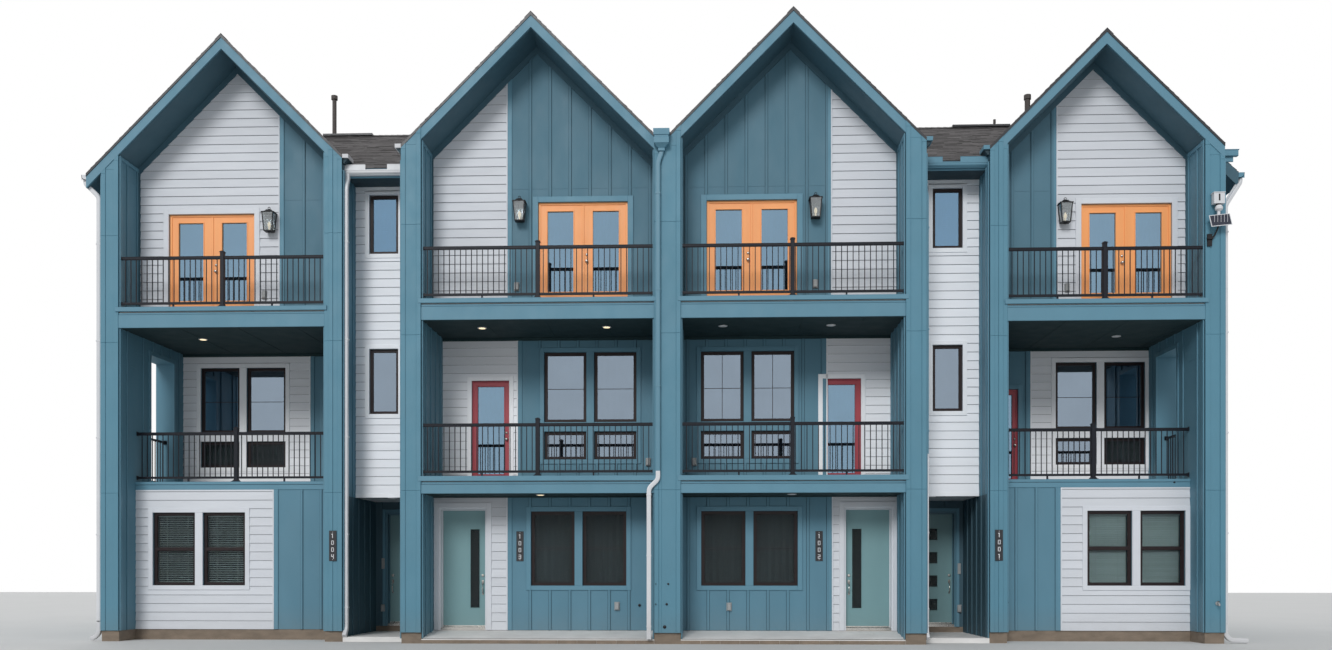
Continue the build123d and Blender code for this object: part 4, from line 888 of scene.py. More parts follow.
for house, u0, u1 in ((A, A_OUTER, A_LEFT), (D, D_RIGHT, D_OUTER)):
    wing_front(house, u0, u1, house.soffit, *UNDER_RAKE)
for house, u0, u1 in ((A, A_RIGHT + CORNER, A_WING), (B, B_OUTER, B_LEFT), (C, C_RIGHT, C_OUTER),
                      (D, D_WING, D_LEFT - CORNER)):
    wing_front(house, u0, u1, under_roof(house), *OVER_RAKE)
for house, u0, u1, top, out in (
        (A, A_RIGHT, A_RIGHT + CORNER, A.soffit, UNDER_RAKE[1]),
        (D, D_LEFT - CORNER, D_LEFT, D.soffit, UNDER_RAKE[1]),
        (B, B_RIGHT, B_RIGHT + CORNER, B.soffit, OVER_RAKE[1]),
        (B, B_RIGHT + CORNER, 0.0, lambda u: C.soffit(0.0) - 0.1, OVER_RAKE[0]),
        (C, 0.0, C_LEFT - CORNER, under_roof(C), OVER_RAKE[0]),
        (C, C_LEFT - CORNER, C_LEFT, under_roof(C), OVER_RAKE[1])):
    wing_strip(house, u0, u1, top, out)

# Balcony edges and beams
edges = Shape("balcony_edges", "teal_trim", "trim")
OUTER_EDGE = ((0, MIDDLE_FLOOR - 0.06, MIDDLE_FLOOR, 0.038),
              (0, GROUND_TOP, MIDDLE_FLOOR - 0.065, 0.026))
INNER_EDGE = ((0.055, MIDDLE_FLOOR - 0.100, MIDDLE_FLOOR, 0.066),
              (0, MIDDLE_FLOOR - 0.160, MIDDLE_FLOOR - 0.112, 0.022),
              (0, MIDDLE_SOFFIT - 0.012, MIDDLE_FLOOR - 0.166, 0.032))
TOP_EDGE = ((0.055, TOP_FLOOR - 0.090, TOP_FLOOR, 0.066),
            (0, TOP_FLOOR - 0.150, TOP_FLOOR - 0.110, 0.020),
            (0, TOP_SOFFIT - 0.012, TOP_FLOOR - 0.155, 0.030))
for house in HOUSES:
    for y, boards in ((house.edge, OUTER_EDGE if house.outer else INNER_EDGE),
                      (house.front, TOP_EDGE)):
        for beyond, v0, v1, out in boards:
            street(y).board(edges, house.left - beyond, house.right + beyond, v0, v1, out)

# Soffit sheets under the balconies, porches and gables, with friezes; those of the balconies and
# porches are nearly black as painted shade
soffits = Shape("soffit_sheets", "soffit_teal", "teal_siding")
shaded_soffits = Shape("soffit_sheets_recessed", "recess_soffit", "teal_siding")
SOFFIT_PITCH = 1.22


def sloping(first, second, *offsets):
    """Outline in X and Z of a board between two points, from one height offset to the other."""
    (x0, z0), (x1, z1) = first, second
    a, b = offsets
    return [(x0, z0 + a), (x1, z1 + a), (x1, z1 + b), (x0, z0 + b)]


for house in HOUSES:
    sheets = [(house.middle, TOP_SOFFIT, 0.07)]
    if not house.outer:
        sheets.insert(0, (house.ground, MIDDLE_SOFFIT, 0.032))
    for y, z, frieze in sheets:
        shaded_soffits.box((house.left, house.front, z - 0.010), (house.right, y, z), 0.5)
        x = house.left + SOFFIT_PITCH
        while x < house.right - 0.2:
            shaded_soffits.box((x - 0.02, house.front, z - 0.016), (x + 0.02, y, z - 0.010), 0.4)
            x += SOFFIT_PITCH
        street(y).board(shaded_soffits, house.left, house.right, z - frieze, z - 0.010, 0.045)
    # Corner boards beside the gable wall and friezes on the walls of the balcony
    for x, out in ((house.left, 1), (house.right, -1)):
        edge = house.soffit(x) - 0.014
        street(house.top).board(soffits, *sorted((x, x + out * 0.055)), TOP_FLOOR, edge - 0.1,
                                0.036)
        facing(x, out).board(teal_trim, house.front + 0.05, house.top, edge - 0.075, edge, 0.036)
    # Sloping undersides of the gable and the frieze boards below them, in half-bright teal as
    # painted shade
    peak = (house.mid, house.soffit(house.mid))
    for x in (house.left, house.right):
        foot = (x, house.soffit(x))
        soffits.loft(rod(sloping(peak, foot, 0, -0.014), house.front, house.top), 0.5)
        soffits.loft(rod(sloping(peak, foot, -0.012, -0.16), house.top - 0.045, house.top), 0.6)
for left, right in BAYS:
    soffits.box((left, BAY_WALL - 0.2, BAY_TOP), (right, BAY_WALL, BAY_TOP + 0.008), 0.5)

# Roof covering
deck = Shape("bay_roof_deck", "soffit_teal", "shingles")
shingles = Shape("shingle_courses", "granular_shingle", "shingles")
EXPOSURE = 0.142
TAB = 0.33
SHINGLE_THICK = 0.013
OVERHANG = 0.012
R2 = math.sqrt(0.5)
LEFT_TIP = extent("left_rake_boards")[0]
RIGHT_TIP = extent("right_roof_slopes")[1]
BAY_ROOFS = list(zip(((A, B), (C, D)), islands("bay_roof_fronts"), islands("bay_roof_backs")))
BAY_EAVE = Vector((0, 0.68, 9.735))


def shingle_slope(origin, along, down, length, run, outline_at=None):
    """Courses of tabs on a slope; along and down are unit vectors, outline_at trims each row."""
    origin, along, down = Vector(origin), Vector(along), Vector(down)
    out = along.cross(down)
    if out.z < 0:
        out = -out
    for row in range(int(run / EXPOSURE) + 1):
        d0 = row * EXPOSURE
        d1 = min(d0 + EXPOSURE, run)
        if d1 - d0 < 0.02:
            continue
        low, high = (0.0, length) if outline_at is None else outline_at((d0 + d1) / 2)
        if high - low < 0.05:
            continue
        at = low - (row % 2) * TAB * 0.5 - rng.random() * 0.1
        while at < high:
            width = TAB * rng.uniform(0.72, 1.28)
            s0, s1 = max(at, low), min(at + width, high)
            at += width
            if s1 - s0 < 0.02:
                continue
            thick = SHINGLE_THICK * rng.choice((0.75, 1.0, 1.35))
            shingles.loft([[origin + along * s + down * d + out * w
                            for s, w in ((s0, 0.001), (s1, 0.001), (s1, top), (s0, top))]
                           for d, top in ((d0, 0.004), (d1, thick))])


def tips(house):
    """Way out and X of the low ends of the two slopes."""
    return ((-1, LEFT_TIP if house is A else house.roof_left), (1, house.roof_right))


def bay_eaves(back):
    """Front and back eave line of a bay roof."""
    return BAY_EAVE, Vector((0, back[1][1], back[0][2] + ROOF_DEPTH))


for house in HOUSES:
    y0, y1 = house.front - BOARD - OVERHANG, REAR + BOARD + OVERHANG
    for side, tip in tips(house):
        shingle_slope((house.mid, y0, house.ridge), (0, 1, 0), (side * R2, 0, -R2), y1 - y0,
                      abs(tip - house.mid) / R2)
    if house is D:
        start = house.front + 0.35
        shingle_slope((tip, start, house.roof(tip)), (0, 1, 0), (R2, 0, -R2),
                      REAR + BOARD - start, (RIGHT_TIP - tip) / R2)
for (near, far), front, back in BAY_ROOFS:
    x0, x1 = front[0][0], front[1][0]
    ridge = Vector((0, front[1][1], front[1][2]))

    def between(z, near=near, far=far):
        """Ends of a bay roof at a height, where it meets the slopes beside it."""
        return (min(near.mid + near.ridge - z, near.roof_right),
                max(far.mid - far.ridge + z, far.roof_left))

    for eave in bay_eaves(back):
        slope = eave - ridge
        run = slope.length

        def trimmed(d, top=ridge.z, fall=-slope.z / run, low=x0):
            return [x - low for x in between(top - d * fall)]

        shingle_slope((x0, ridge.y, ridge.z), (1, 0, 0), slope / run, x1 - x0, run, trimmed)
    # Deck of the front slope, down to the eave
    kink = near.roof(near.roof_right)
    for low_z, high_z in ((BAY_EAVE.z, kink), (kink, ridge.z)):
        corners = []
        for z in (low_z, high_z):
            y = BAY_EAVE.y + (ridge.y - BAY_EAVE.y) * (z - BAY_EAVE.z) / (ridge.z - BAY_EAVE.z)
            corners += [(x, y, z) for x in sorted(between(z), reverse=z == high_z)]
        deck.loft([[(x, y, z - 0.03) for x, y, z in corners], corners], 0.5)

# Ridge caps, ridge vents and drip edges
ridges = Shape("ridge_caps", "granular_shingle", "shingles")
drips = Shape("drip_edges", "drip_edge", "rail_metal")
CAP = 0.145
CAP_WIDE = 0.125
VENT = 0.60
RIDGE_VENTS = ((-8.32, -7.12), (6.67, 8.02))
for house in HOUSES:
    y, end = house.front - BOARD - OVERHANG, REAR + BOARD + OVERHANG
    x, z = house.mid, house.ridge + 0.020
    while y < end - 0.02:
        far = min(y + CAP, end)
        for side in (-1, 1):
            foot = (x + side * CAP_WIDE, z - CAP_WIDE)
            ridges.loft([[(u, at, v - fall) for u, v in sloping((x, z), foot, 0, 0.010)]
                         for at, fall in ((y, 0), (far, 0.006))])
        y = far
    for _, tip in tips(house):
        outline = sloping((x, house.ridge), (tip, house.roof(tip)), 0.012, -0.052)
        for at, out in ((house.front - BOARD, -1), (REAR + BOARD, 1)):
            drips.loft(rod(outline, *sorted((at, at + out * 0.014))))
for ((near, far), front, back), (u, vent_end) in zip(BAY_ROOFS, RIDGE_VENTS):
    y, top = front[1][1], front[1][2]
    z = top + 0.022
    x = near.mid + (near.ridge - top) + 0.1
    end = far.mid - (far.ridge - top) - 0.1
    while x < end:
        nx = min(x + CAP, end)
        for eave in bay_eaves(back):
            reach = y + (0.14 if eave.y > y else -0.14)
            foot = z - 0.14 * (top - eave.z) / abs(eave.y - y)
            ridges.loft([[(at, y, z), (at, reach, foot), (at, reach, foot + a), (at, y, z + b)]
                         for at, a, b in ((x, 0.010, 0.012), (nx, 0.006, 0.006))])
        x = nx
    while u < vent_end - 0.1:
        drips.box((u, y - 0.15, top - 0.02),
                  (min(u + VENT, vent_end) - 0.005, y + 0.15, top + 0.026), 0.5)
        u += VENT

# Windows: sashes, bars, panes and what hangs behind them
sashes = Shape("window_sashes", "bronze_frame", "dark_frame")
bars = Shape("window_bars", "bronze_frame", "dark_frame")
clear_panes, middle_panes, bay_panes = (
    Shape(name, paint, "clear_glass", ("window_panes",))
    for name, paint in (("clear_panes", "pane_clear"), ("balcony_panes", "pane_coated_middle"),
                        ("bay_panes", "pane_coated_bay")))
slats = Shape("window_blinds", "blind_slat", "white_metal")
# Near black linings stand in for the shade of the rooms: painted shade
linings = Shape("dark_linings", "dark_lining", "dark_frame")
pale_linings = Shape("pale_linings", "pale_lining", "white_metal")
FRAME = 0.055
SLAT_HALF = 0.024
SLAT_PITCH = 0.046
FOLDS = 12


def blind(opening, y, tilt):
    """Slatted blind behind a pane."""
    u0, u1, v0, v1 = opening
    dy, dz = SLAT_HALF * math.cos(tilt), SLAT_HALF * math.sin(tilt)
    v = v1 - 0.03
    while v > v0 + 0.02:
        slats.loft([[(u0 + 0.01, y - dy, v - dz + up), (u1 - 0.01, y - dy, v - dz + up),
                     (u1 - 0.01, y + dy, v + dz + up), (u0 + 0.01, y + dy, v + dz + up)]
                    for up in (0, 0.0025)])
        v -= SLAT_PITCH
    for u in (u0 + (u1 - u0) * 0.22, u0 + (u1 - u0) * 0.78):
        slats.box((u - 0.002, y - 0.004, v0), (u + 0.002, y + 0.004, v1), 0.2)
    slats.box((u0, y - 0.03, v1 - 0.035), (u1, y + 0.03, v1 + 0.01), 0.6)


def lining(opening, y, pale=False):
    """Cloth behind a pane, in shallow folds; the dark cloth is near black as painted shade of the
    room behind.
    """
    u0, u1, v0, v1 = grown(opening, 0.04)
    folds = [(u0 + (u1 - u0) * i / FOLDS, y + 0.012 * (i % 2)) for i in range(FOLDS + 1)]
    for (a, ya), (b, yb) in zip(folds, folds[1:]):
        (pale_linings if pale else linings).loft(
            [[(a, ya, v), (b, yb, v), (b, yb + 0.003, v), (a, ya + 0.003, v)] for v in (v0, v1)],
            0.5)


for low, high in WINDOWS:
    opening = band(low, high)
    u0, u1, v0, v1 = opening
    inner = grown(opening, -FRAME)
    wall, behind = street(low[1] + 0.03), high[1] + 0.04
    ground, outer = v0 < MIDDLE_SOFFIT, abs(u0) > 5
    in_bay, awning = u1 - u0 < 0.7, v1 - v0 < 0.8
    parts = [inner]
    if ground and outer:
        below, above = about(v0, v1, FRAME / 2)
        parts = [(*inner[:3], below), (*inner[:2], above, inner[3])]
    if awning and abs(u0) < 9:
        panes = middle_panes
    elif ground or awning:
        panes = clear_panes
    else:
        panes = bay_panes if in_bay and v0 > TOP_SOFFIT else middle_panes
    for part in parts:
        for strip in strips_round(grown(part, -0.012), 0.012):
            street(low[1] + 0.02).board(sashes, *strip, 0.012, -0.004, 0.002)
        wall.slab(panes, *part, -0.020, 0, 0.5)
    blinded = ground and outer or in_bay or -9.8 < u0 < -9.0 and not ground and not awning
    if blinded:
        blind(inner, behind, 0.95 if not ground else 0.30 if u0 < 0 else 1.1)
    lining(inner, behind + (0.10 if blinded else 0.06), in_bay)
    bars_at = []
    if ground and not outer:
        at = v1 - (v1 - v0) * 0.5
        bars_at = [(*inner[:2], at - 0.008, at + 0.008)]
    elif not (ground or awning or in_bay):
        at = v1 - (v1 - v0) * 0.52
        bars_at = [(*inner[:2], at - 0.006, at + 0.006)]
        if 0 < u0 < 4:
            bars_at.append((*about(u0, u1, 0.006), *inner[2:]))
    for bar in bars_at:
        wall.board(bars, *bar, 0.006, 0.0, 0.002)

for low, high in REAR_WINDOWS:
    u0, u1, v0, v1 = inner = grown(band(low, high), -FRAME)
    for strip in ((u0, u0 + 0.026, v0, v1), (u1 - 0.026, u1, v0, v1), (u0, u1, v0, v0 + 0.026),
                  (u0, u1, v1 - 0.026, v1), (u0, u1, *about(v0, v1, 0.02))):
        Wall("y", high[1] - 0.02, 1).board(sashes, *strip, 0.012, -0.004, 0.002)
    lining(inner, low[1] - 0.06)

# Upper doors: blinds and linings behind their panes, raised edges, knobs and locks
french_trim = Shape("french_door_mouldings", "orange_paint", "orange_door")
balcony_trim = Shape("balcony_door_mouldings", "red_paint", "red_door")
knobs = Shape("upper_door_knobs", "satin_nickel", "handle_metal", smooth=True)
KNOB = ((0.0, 0.034), (0.006, 0.034), (0.010, 0.016), (0.030, 0.012), (0.036, 0.022),
        (0.050, 0.030), (0.064, 0.026), (0.070, 0.010))
LOCK = ((0.0, 0.030), (0.012, 0.028), (0.018, 0.020), (0.022, 0.018))
for low, high in islands("upper_door_panes"):
    opening = band(low, high)
    top_floor = low[2] > TOP_SOFFIT
    if top_floor:
        leaf_low, leaf_high = next(b for b in FRENCH if b[0][0] < low[0] < b[1][0])
        u0, u1, v0, v1 = opening
        inward = u1 < (leaf_low[0] + leaf_high[0]) / 2 + 0.01
        a, b = (u0 + 0.012, u1 - 0.082) if inward else (u0 + 0.082, u1 - 0.012)
        opening = (a, b, v0 + 0.075, v1)
        for c, d, e, f in ((u0, a, v0, v1), (b, u1, v0, v1), (a, b, v0, v0 + 0.075)):
            french_trim.box((c, leaf_low[1], e), (d, low[1] + 0.004, f), 0.5)
        if a < -5:
            blind(opening, high[1] + 0.05, 1.05)
    lining(opening, high[1] + 0.12, top_floor and abs(opening[0]) > 5)
    for strip in strips_round(opening, 0.022):
        street(low[1] - 0.030).board(french_trim if top_floor else balcony_trim, *strip, 0.010,
                                     -0.002, 0.003)


def raised_edges(shape, low, high, edge, out, sill):
    """Raised stiles and head of a door or pair of doors, with a sill in front."""
    u0, u1, v0, v1 = band(low, high)
    for strip in strips_round((u0 + edge, u1 - edge, v0, v1 - edge), edge, foot=False):
        street(low[1]).board(shape, *strip, out, 0.0, 0.004)
    street(low[1]).board(shape, u0 + edge, u1 - edge, v0, v0 + sill, 0.03, 0.0, 0.004, 0.2)


def knob_and_lock(x, low):
    for height, profile in ((0.95, KNOB), (1.09, LOCK)):
        knobs.turned((x, low[1], low[2] + height), profile)


for (low, high), side in zip(FRENCH, (1, 1, -1, -1)):
    street(low[1]).board(french_trim, *about(low[0], high[0], 0.022), low[2] + 0.055,
                         high[2] - 0.055, 0.014, 0.0, 0.004)
    raised_edges(french_trim, low, high, 0.05, 0.016, 0.035)
    knob_and_lock((low[0] + high[0]) / 2 + side * 0.075, low)
for (low, high), side in zip(BALCONY_DOORS, (-1, 1, -1, 1)):
    raised_edges(balcony_trim, low, high, 0.034, 0.014, 0.03)
    knob_and_lock(high[0] - 0.065 if side > 0 else low[0] + 0.065, low)

# Lanterns beside the top doors
lantern_metal = Shape("lantern_frames", "lantern_black", "lantern_metal", ("lanterns",))
lantern_glass = Shape("lantern_panes", "pane_lantern", "clear_glass")
bulbs = Shape("lantern_bulbs", "lamp_lens", "white_metal", smooth=True)
LANTERN_HAT = 0.10
LANTERN_PLATE = 0.025
LANTERN_ROOF = (((-0.008, 1), (0.006, 1)), ((0.006, 0.92), (0.024, 0.62)),
                ((0.024, 0.62), (0.052, 0.36)), ((0.052, 0.42), (0.060, 0.42)))
BULB = ((0.03, 0.013), (0.08, 0.015), (0.11, 0.028), (0.15, 0.032), (0.185, 0.021),
        (0.205, 0.004))
LEG = 0.009


def square(x, y, z, half_x, half_y):
    """Level ring of four corners round a point."""
    return oblong(x - half_x, x + half_x, y - half_y, y + half_y, z)


def tapered(*levels):
    """Four-sided taper of a lantern; each level is a height and half the width in X and Y."""
    lantern_metal.loft([square(x, y, *level) for level in levels], 0.5)


for low, high in islands("lanterns"):
    wall_y, top, bottom = high[1], high[2], low[2]
    rim, base = top - LANTERN_HAT, bottom + 0.012
    half_x, half_y = (high[0] - low[0]) / 2, (high[1] - low[1] - LANTERN_PLATE) / 2
    wide_x, wide_y = half_x * 0.86, half_y * 0.86
    foot_x, foot_y = half_x * 0.62, half_y * 0.62
    x, y = (low[0] + high[0]) / 2, low[1] + half_y
    street(wall_y).board(lantern_metal, x - 0.060, x + 0.060, rim - 0.26, rim + 0.03, 0.022, 0.0,
                         0.006)
    lantern_metal.tube([(x, wall_y - 0.018, rim - 0.03), (x, wall_y - 0.05, rim + 0.055),
                        (x, wall_y - 0.09, rim + 0.085), (x, y, rim + 0.078)], 0.010, 8)
    for levels in LANTERN_ROOF:
        tapered(*((rim + up, half_x * k, half_y * k) for up, k in levels))
    lantern_metal.tube([(x, y, rim + up) for up in (0.058, 0.066, 0.074)],
                       [0.016, 0.014, 0.008], 10)
    lantern_metal.tube([(x + 0.024 * math.cos(i * math.pi / 7), y,
                         rim + 0.096 + 0.024 * math.sin(i * math.pi / 7)) for i in range(15)],
                       0.006, 8)
    for sx in (-1, 1):
        for sy in (-1, 1):
            lantern_metal.loft([square(x + sx * foot_x, y + sy * foot_y, base, LEG, LEG),
                                square(x + sx * wide_x, y + sy * wide_y, rim, LEG, LEG)])
    tapered(*((bottom + up, foot_x + LEG, foot_y + LEG) for up in (0.004, 0.022)))
    tapered((bottom - 0.012, 0.02, 0.02), (bottom + 0.004, foot_x * 0.6, foot_y * 0.6))
    for axis in (0, 1):
        for side in (-1, 1):
            corners = ((-1, side), (1, side), (1, side * 0.965), (-1, side * 0.965))
            lantern_glass.loft([[(x + (a if axis else b) * fx, y + (b if axis else a) * fy, z)
                                 for a, b in corners]
                                for z, fx, fy in ((base + 0.010, foot_x, foot_y),
                                                  (rim - 0.006, wide_x, wide_y))])
    bulbs.tube([(x, y, base + up) for up, _ in BULB], [r for _, r in BULB], 14)

# Railings: caps, shoes, end brackets and feet
rail_parts = Shape("railing_fittings", "rail_paint", "rail_metal")


def end_brackets(start, end, across, levels, turned=False):
    """Plate and socket at both ends of rails that run along X or, turned, along Y."""
    for at, side in ((start, 1), (end, -1)):
        for z in levels:
            for near, far, half, tall in ((0, 0.014, 0.040, 0.045), (0.014, 0.060, 0.027, 0.027)):
                a, b = sorted((at + side * near, at + side * far))
                low, high = (a, across - half), (b, across + half)
                if turned:
                    low, high = low[::-1], high[::-1]
                rail_parts.box((*low, z - tall), (*high, z + tall))


def railing_parts(low, high, floor_z):
    """Fittings of one railing that runs along the street."""
    x0, x1, top = low[0], high[0], high[2]
    y, mid, rail = (low[1] + high[1]) / 2, (x0 + x1) / 2, top - 0.045
    street(y - 0.041).board(rail_parts, mid - 0.041, mid + 0.041, floor_z, top + 0.035, 0.0,
                            -0.082, 0.006)
    blocks = [(mid, half, top + 0.033, tall)
              for half, tall in ((0.050, 0.012), (0.040, 0.026), (0.022, 0.036))]
    blocks += [(mid, half, floor_z, tall)
               for half, tall in ((0.085, 0.010), (0.065, 0.026), (0.052, 0.045))]
    for x, half, z, tall in blocks:
        rail_parts.box((x - half, y - half, z), (x + half, y + half, z + tall))
    end_brackets(x0, x1, y, (rail - 0.022, floor_z + 0.092))
    for x in (x0 + (x1 - x0) * 0.26, x0 + (x1 - x0) * 0.74):
        for half, tall in ((0.016, 0.072), (0.026, 0.008)):
            rail_parts.box((x - half, y - half, floor_z), (x + half, y + half, floor_z + tall))
    for half, z0, z1 in ((0.0275, -0.004, 0.004), (0.012, -0.060, -0.044)):
        rail_parts.box((x0, y - half, rail + z0), (x1, y + half, rail + z1))


for node, floor_z in (("middle_railings", MIDDLE_FLOOR), ("top_railings", TOP_FLOOR)):
    for low, high in islands(node):
        railing_parts(low, high, floor_z)
for low, high in islands("side_railings"):
    end_brackets(low[1], high[1], (low[0] + high[0]) / 2,
                 (high[2] - 0.022, MIDDLE_FLOOR + 0.092), turned=True)

# Lights sunk in the soffits
light_rings = Shape("soffit_light_rings", "white_aluminium", "white_metal", smooth=True)
lit = Shape("soffit_lamps_lit", "lamp_lens", "white_metal", smooth=True)
unlit = Shape("soffit_lamps_off", "lamp_lens_off", "white_metal", smooth=True)
SOFFIT_LIGHTS = (
    (-9.97, 1.65, TOP_SOFFIT, lit), (-3.73, 0.75, TOP_SOFFIT, lit),
    (-1.16, 0.75, TOP_SOFFIT, lit), (1.22, 0.75, TOP_SOFFIT, unlit),
    (3.42, 0.75, TOP_SOFFIT, unlit), (9.61, 2.05, TOP_SOFFIT, unlit),
    (-2.47, 0.40, MIDDLE_SOFFIT, lit), (2.60, 0.40, MIDDLE_SOFFIT, unlit),
)


def soffit_light(x, y, z, lens, deep):
    """Trim ring and lens of a light in a soffit."""
    light_rings.tube([(x, y, z - drop) for drop in (0, deep, deep + 0.002)],
                     [0.095, 0.092, 0.084], 28)
    lens.tube([(x, y, z - drop) for drop in (deep - 0.002, deep + 0.006, deep + 0.007)],
              [0.072, 0.068, 0.040], 28)


for x, y, z, lens in SOFFIT_LIGHTS:
    soffit_light(x, y, z - 0.010, lens, 0.008)
for x in (5.55, -5.75):
    soffit_light(x, 1.30, MIDDLE_SOFFIT - 0.004, unlit, 0.010)

# Outlet covers, bell plates, hose taps and vents on the walls
covers = Shape("wall_fittings", "fitting_grey", "handle_metal")
bosses = Shape("wall_bosses", "lantern_black", "lantern_metal")
OUTLETS = ((-8.48, 1.3, 7.30), (-3.02, 0.8, 7.30), (3.10, 0.8, 7.30), (8.33, 1.3, 7.30),
           (-0.36, 1.8, 3.78), (0.62, 1.8, 3.78), (-0.965, 1.0, 0.72), (1.35, 1.0, 0.71),
           (-6.37, 2.8, 0.62), (6.45, 2.8, 0.62))
BELLS = ((-6.37, 2.8, 1.62), (6.45, 2.8, 1.50))
BOSSES = ((-0.115, 0.0, 1.19, 0.020), (0.13, 0.0, 1.19, 0.020), (-0.115, 0.0, 0.79, 0.024),
          (0.10, 0.0, 0.79, 0.024), (-0.50, 1.0, 0.74, 0.028), (0.06, 0.0, 0.34, 0.034),
          (7.08, 1.18, 0.80, 0.028), (10.46, 1.18, 3.27, 0.024))
for x, y, z in OUTLETS:
    # Box, cover and flap
    for half, low_z, high_z, out, back, edge in (
            (0.0545, -0.087, 0.087, 0.028, 0.0, 0.004),
            (0.0425, -0.075, 0.075, 0.078, 0.02, 0.012),
            (0.0325, 0.071, 0.085, 0.060, 0.02, 0.004)):
        street(y).board(covers, x - half, x + half, z + low_z, z + high_z, out, back, edge)
for x, y, z in BELLS:
    street(y).board(covers, x - 0.035, x + 0.035, z - 0.12, z + 0.12, 0.045, 0.0, 0.008)
for x, y, z, r in BOSSES:
    bosses.turned((x, y - (0.024 if y else 0.046), z),
                  ((0.0, r), (0.004, r), (0.006, r * 0.55), (0.034, r * 0.5), (0.036, r * 0.3)),
                  14)
# Hose tap with a turned-down spout and a small wheel
x, y, z = 11.02, 0.46, 0.80
covers.turned((x, y, z), ((0.0, 0.040), (0.006, 0.038), (0.010, 0.020), (0.060, 0.020)), 14)
for shape, path, radius, sides in (
        (covers, ((0.055, 0), (0.085, -0.008), (0.095, -0.045)), (0.019, 0.018, 0.017), 10),
        (covers, ((0.060, 0), (0.060, 0.040)), 0.006, 8),
        (bosses, ((0.060, 0.040), (0.060, 0.050)), 0.026, 12)):
    shape.tube([(x, y - out, z + up) for out, up in path], radius, sides)

# House numbers and their plates
plates = Shape("plaque_plates", "plaque_black", "plaque", ("number_plaques",))
numerals = Shape("plaque_numerals", "numeral_white", "plaque")
NUMERAL_WIDE, NUMERAL_TALL, STROKE = 0.054, 0.090, 0.014
PLATE_OUT = 0.048
HOUSE_NUMBERS = ("1004", "1003", "1002", "1001")
# Strokes of the numerals: left, right, bottom and top, from the middle of the numeral
L, R, T, S = -NUMERAL_WIDE / 2, NUMERAL_WIDE / 2, NUMERAL_TALL / 2, STROKE
TOP, MIDDLE, BOTTOM = (L, R, T - S, T), (L, R, -S / 2, S / 2), (L, R, -T, S - T)
UPPER_LEFT, UPPER_RIGHT = (L, L + S, 0, T), (R - S, R, 0, T)
LOWER_LEFT, LOWER_RIGHT = (L, L + S, -T, 0), (R - S, R, -T, 0)
NUMERALS = {
    "0": (TOP, UPPER_LEFT, UPPER_RIGHT, LOWER_LEFT, LOWER_RIGHT, BOTTOM),
    "1": ((-S / 2, S / 2, -T, T), (-1.6 * S, -S / 2, T - 1.4 * S, T - 0.4 * S)),
    "2": (TOP, UPPER_RIGHT, MIDDLE, LOWER_LEFT, BOTTOM),
    "3": (TOP, UPPER_RIGHT, MIDDLE, LOWER_RIGHT, BOTTOM),
    "4": (UPPER_LEFT, UPPER_RIGHT, MIDDLE, LOWER_RIGHT),
}
for digits, (low, high) in zip(HOUSE_NUMBERS, islands("number_plaques")):
    out = PLATE_OUT if abs(low[0]) > 5 else 0.0
    wall = street(high[1] - out)
    wall.board(plates, *band(low, high), high[1] - low[1], -0.01, 0.004, 0.5)
    x = (low[0] + high[0]) / 2
    step = (high[2] - low[2]) / (len(digits) + 0.4)
    for i, digit in enumerate(digits):
        z = high[2] - step * (i + 0.75)
        for u0, u1, v0, v1 in NUMERALS[digit]:
            wall.board(numerals, x + u0, x + u1, z + v0, z + v1, 0.030, 0.018, 0.002)
    for z in (low[2] + 0.03, high[2] - 0.03):
        numerals.turned((x, low[1] - out, z), ((0.0, 0.007), (0.003, 0.006), (0.004, 0.003)), 10)

# Gutters with a moulded front, end caps and brackets; flashings beside them
white_gutters = Shape("gutters_white", "white_aluminium", "white_metal", ("gutters",))
teal_gutters = Shape("gutters_teal", "teal_trim", "trim", ("gutters",))
shaded_bay_eave = Shape("bay_eave_boards", "eave_soffit", "teal_siding")
BAY_GUTTER_Y, BAY_GUTTER_Z = 0.68, 9.597
GUTTER_BOXES = [((low[0], 0.62, BAY_GUTTER_Z), (high[0], 0.745, 9.697))
                if 0.5 < low[1] < 1.1 and high[0] - low[0] > 1 else (low, high)
                for low, high in islands("gutters")]
PROFILE = ((0.0, 1.0), (0.0, 0.0), (0.58, 0.0), (0.62, 0.10), (0.78, 0.22), (0.93, 0.42),
           (0.95, 0.75), (1.0, 0.80), (1.0, 1.0), (0.93, 1.0), (0.93, 0.85), (0.88, 0.80),
           (0.86, 0.46), (0.72, 0.30), (0.54, 0.16), (0.07, 0.08), (0.07, 1.0))
EAVE_SOFFIT = 9.572


def gutter(shape, low, high):
    """Moulded gutter in the space of its CAD solid."""
    along = 0 if high[0] - low[0] > high[1] - low[1] else 1
    start, end, near, far = low[along], high[along], low[1 - along], high[1 - along]
    # The lip is on the street side or, behind, on the far side
    flipped = low[1] < 5 if along == 0 else low[0] < 0

    def at(u, w, z):
        return (u, w, z) if along == 0 else (w, u, z)

    def ring(u):
        return [at(u, far - a * (far - near) if flipped else near + a * (far - near),
                   low[2] + b * (high[2] - low[2])) for a, b in PROFILE]

    shape.loft([ring(start), ring(end)], 0.5)
    inset = (0.006, 0) if along == 0 else (0.003, 0.003)
    for a, b in ((start, start + 0.003), (end - 0.003, end)):
        shape.box(at(a, near + inset[0], low[2]), at(b, far - inset[1], high[2]), 0.6)
    u = start + 0.35
    while u < end - 0.2:
        shape.box(at(u - 0.01, near, high[2] - 0.006), at(u + 0.01, far, high[2] - 0.001), 0.3)
        u += 0.6


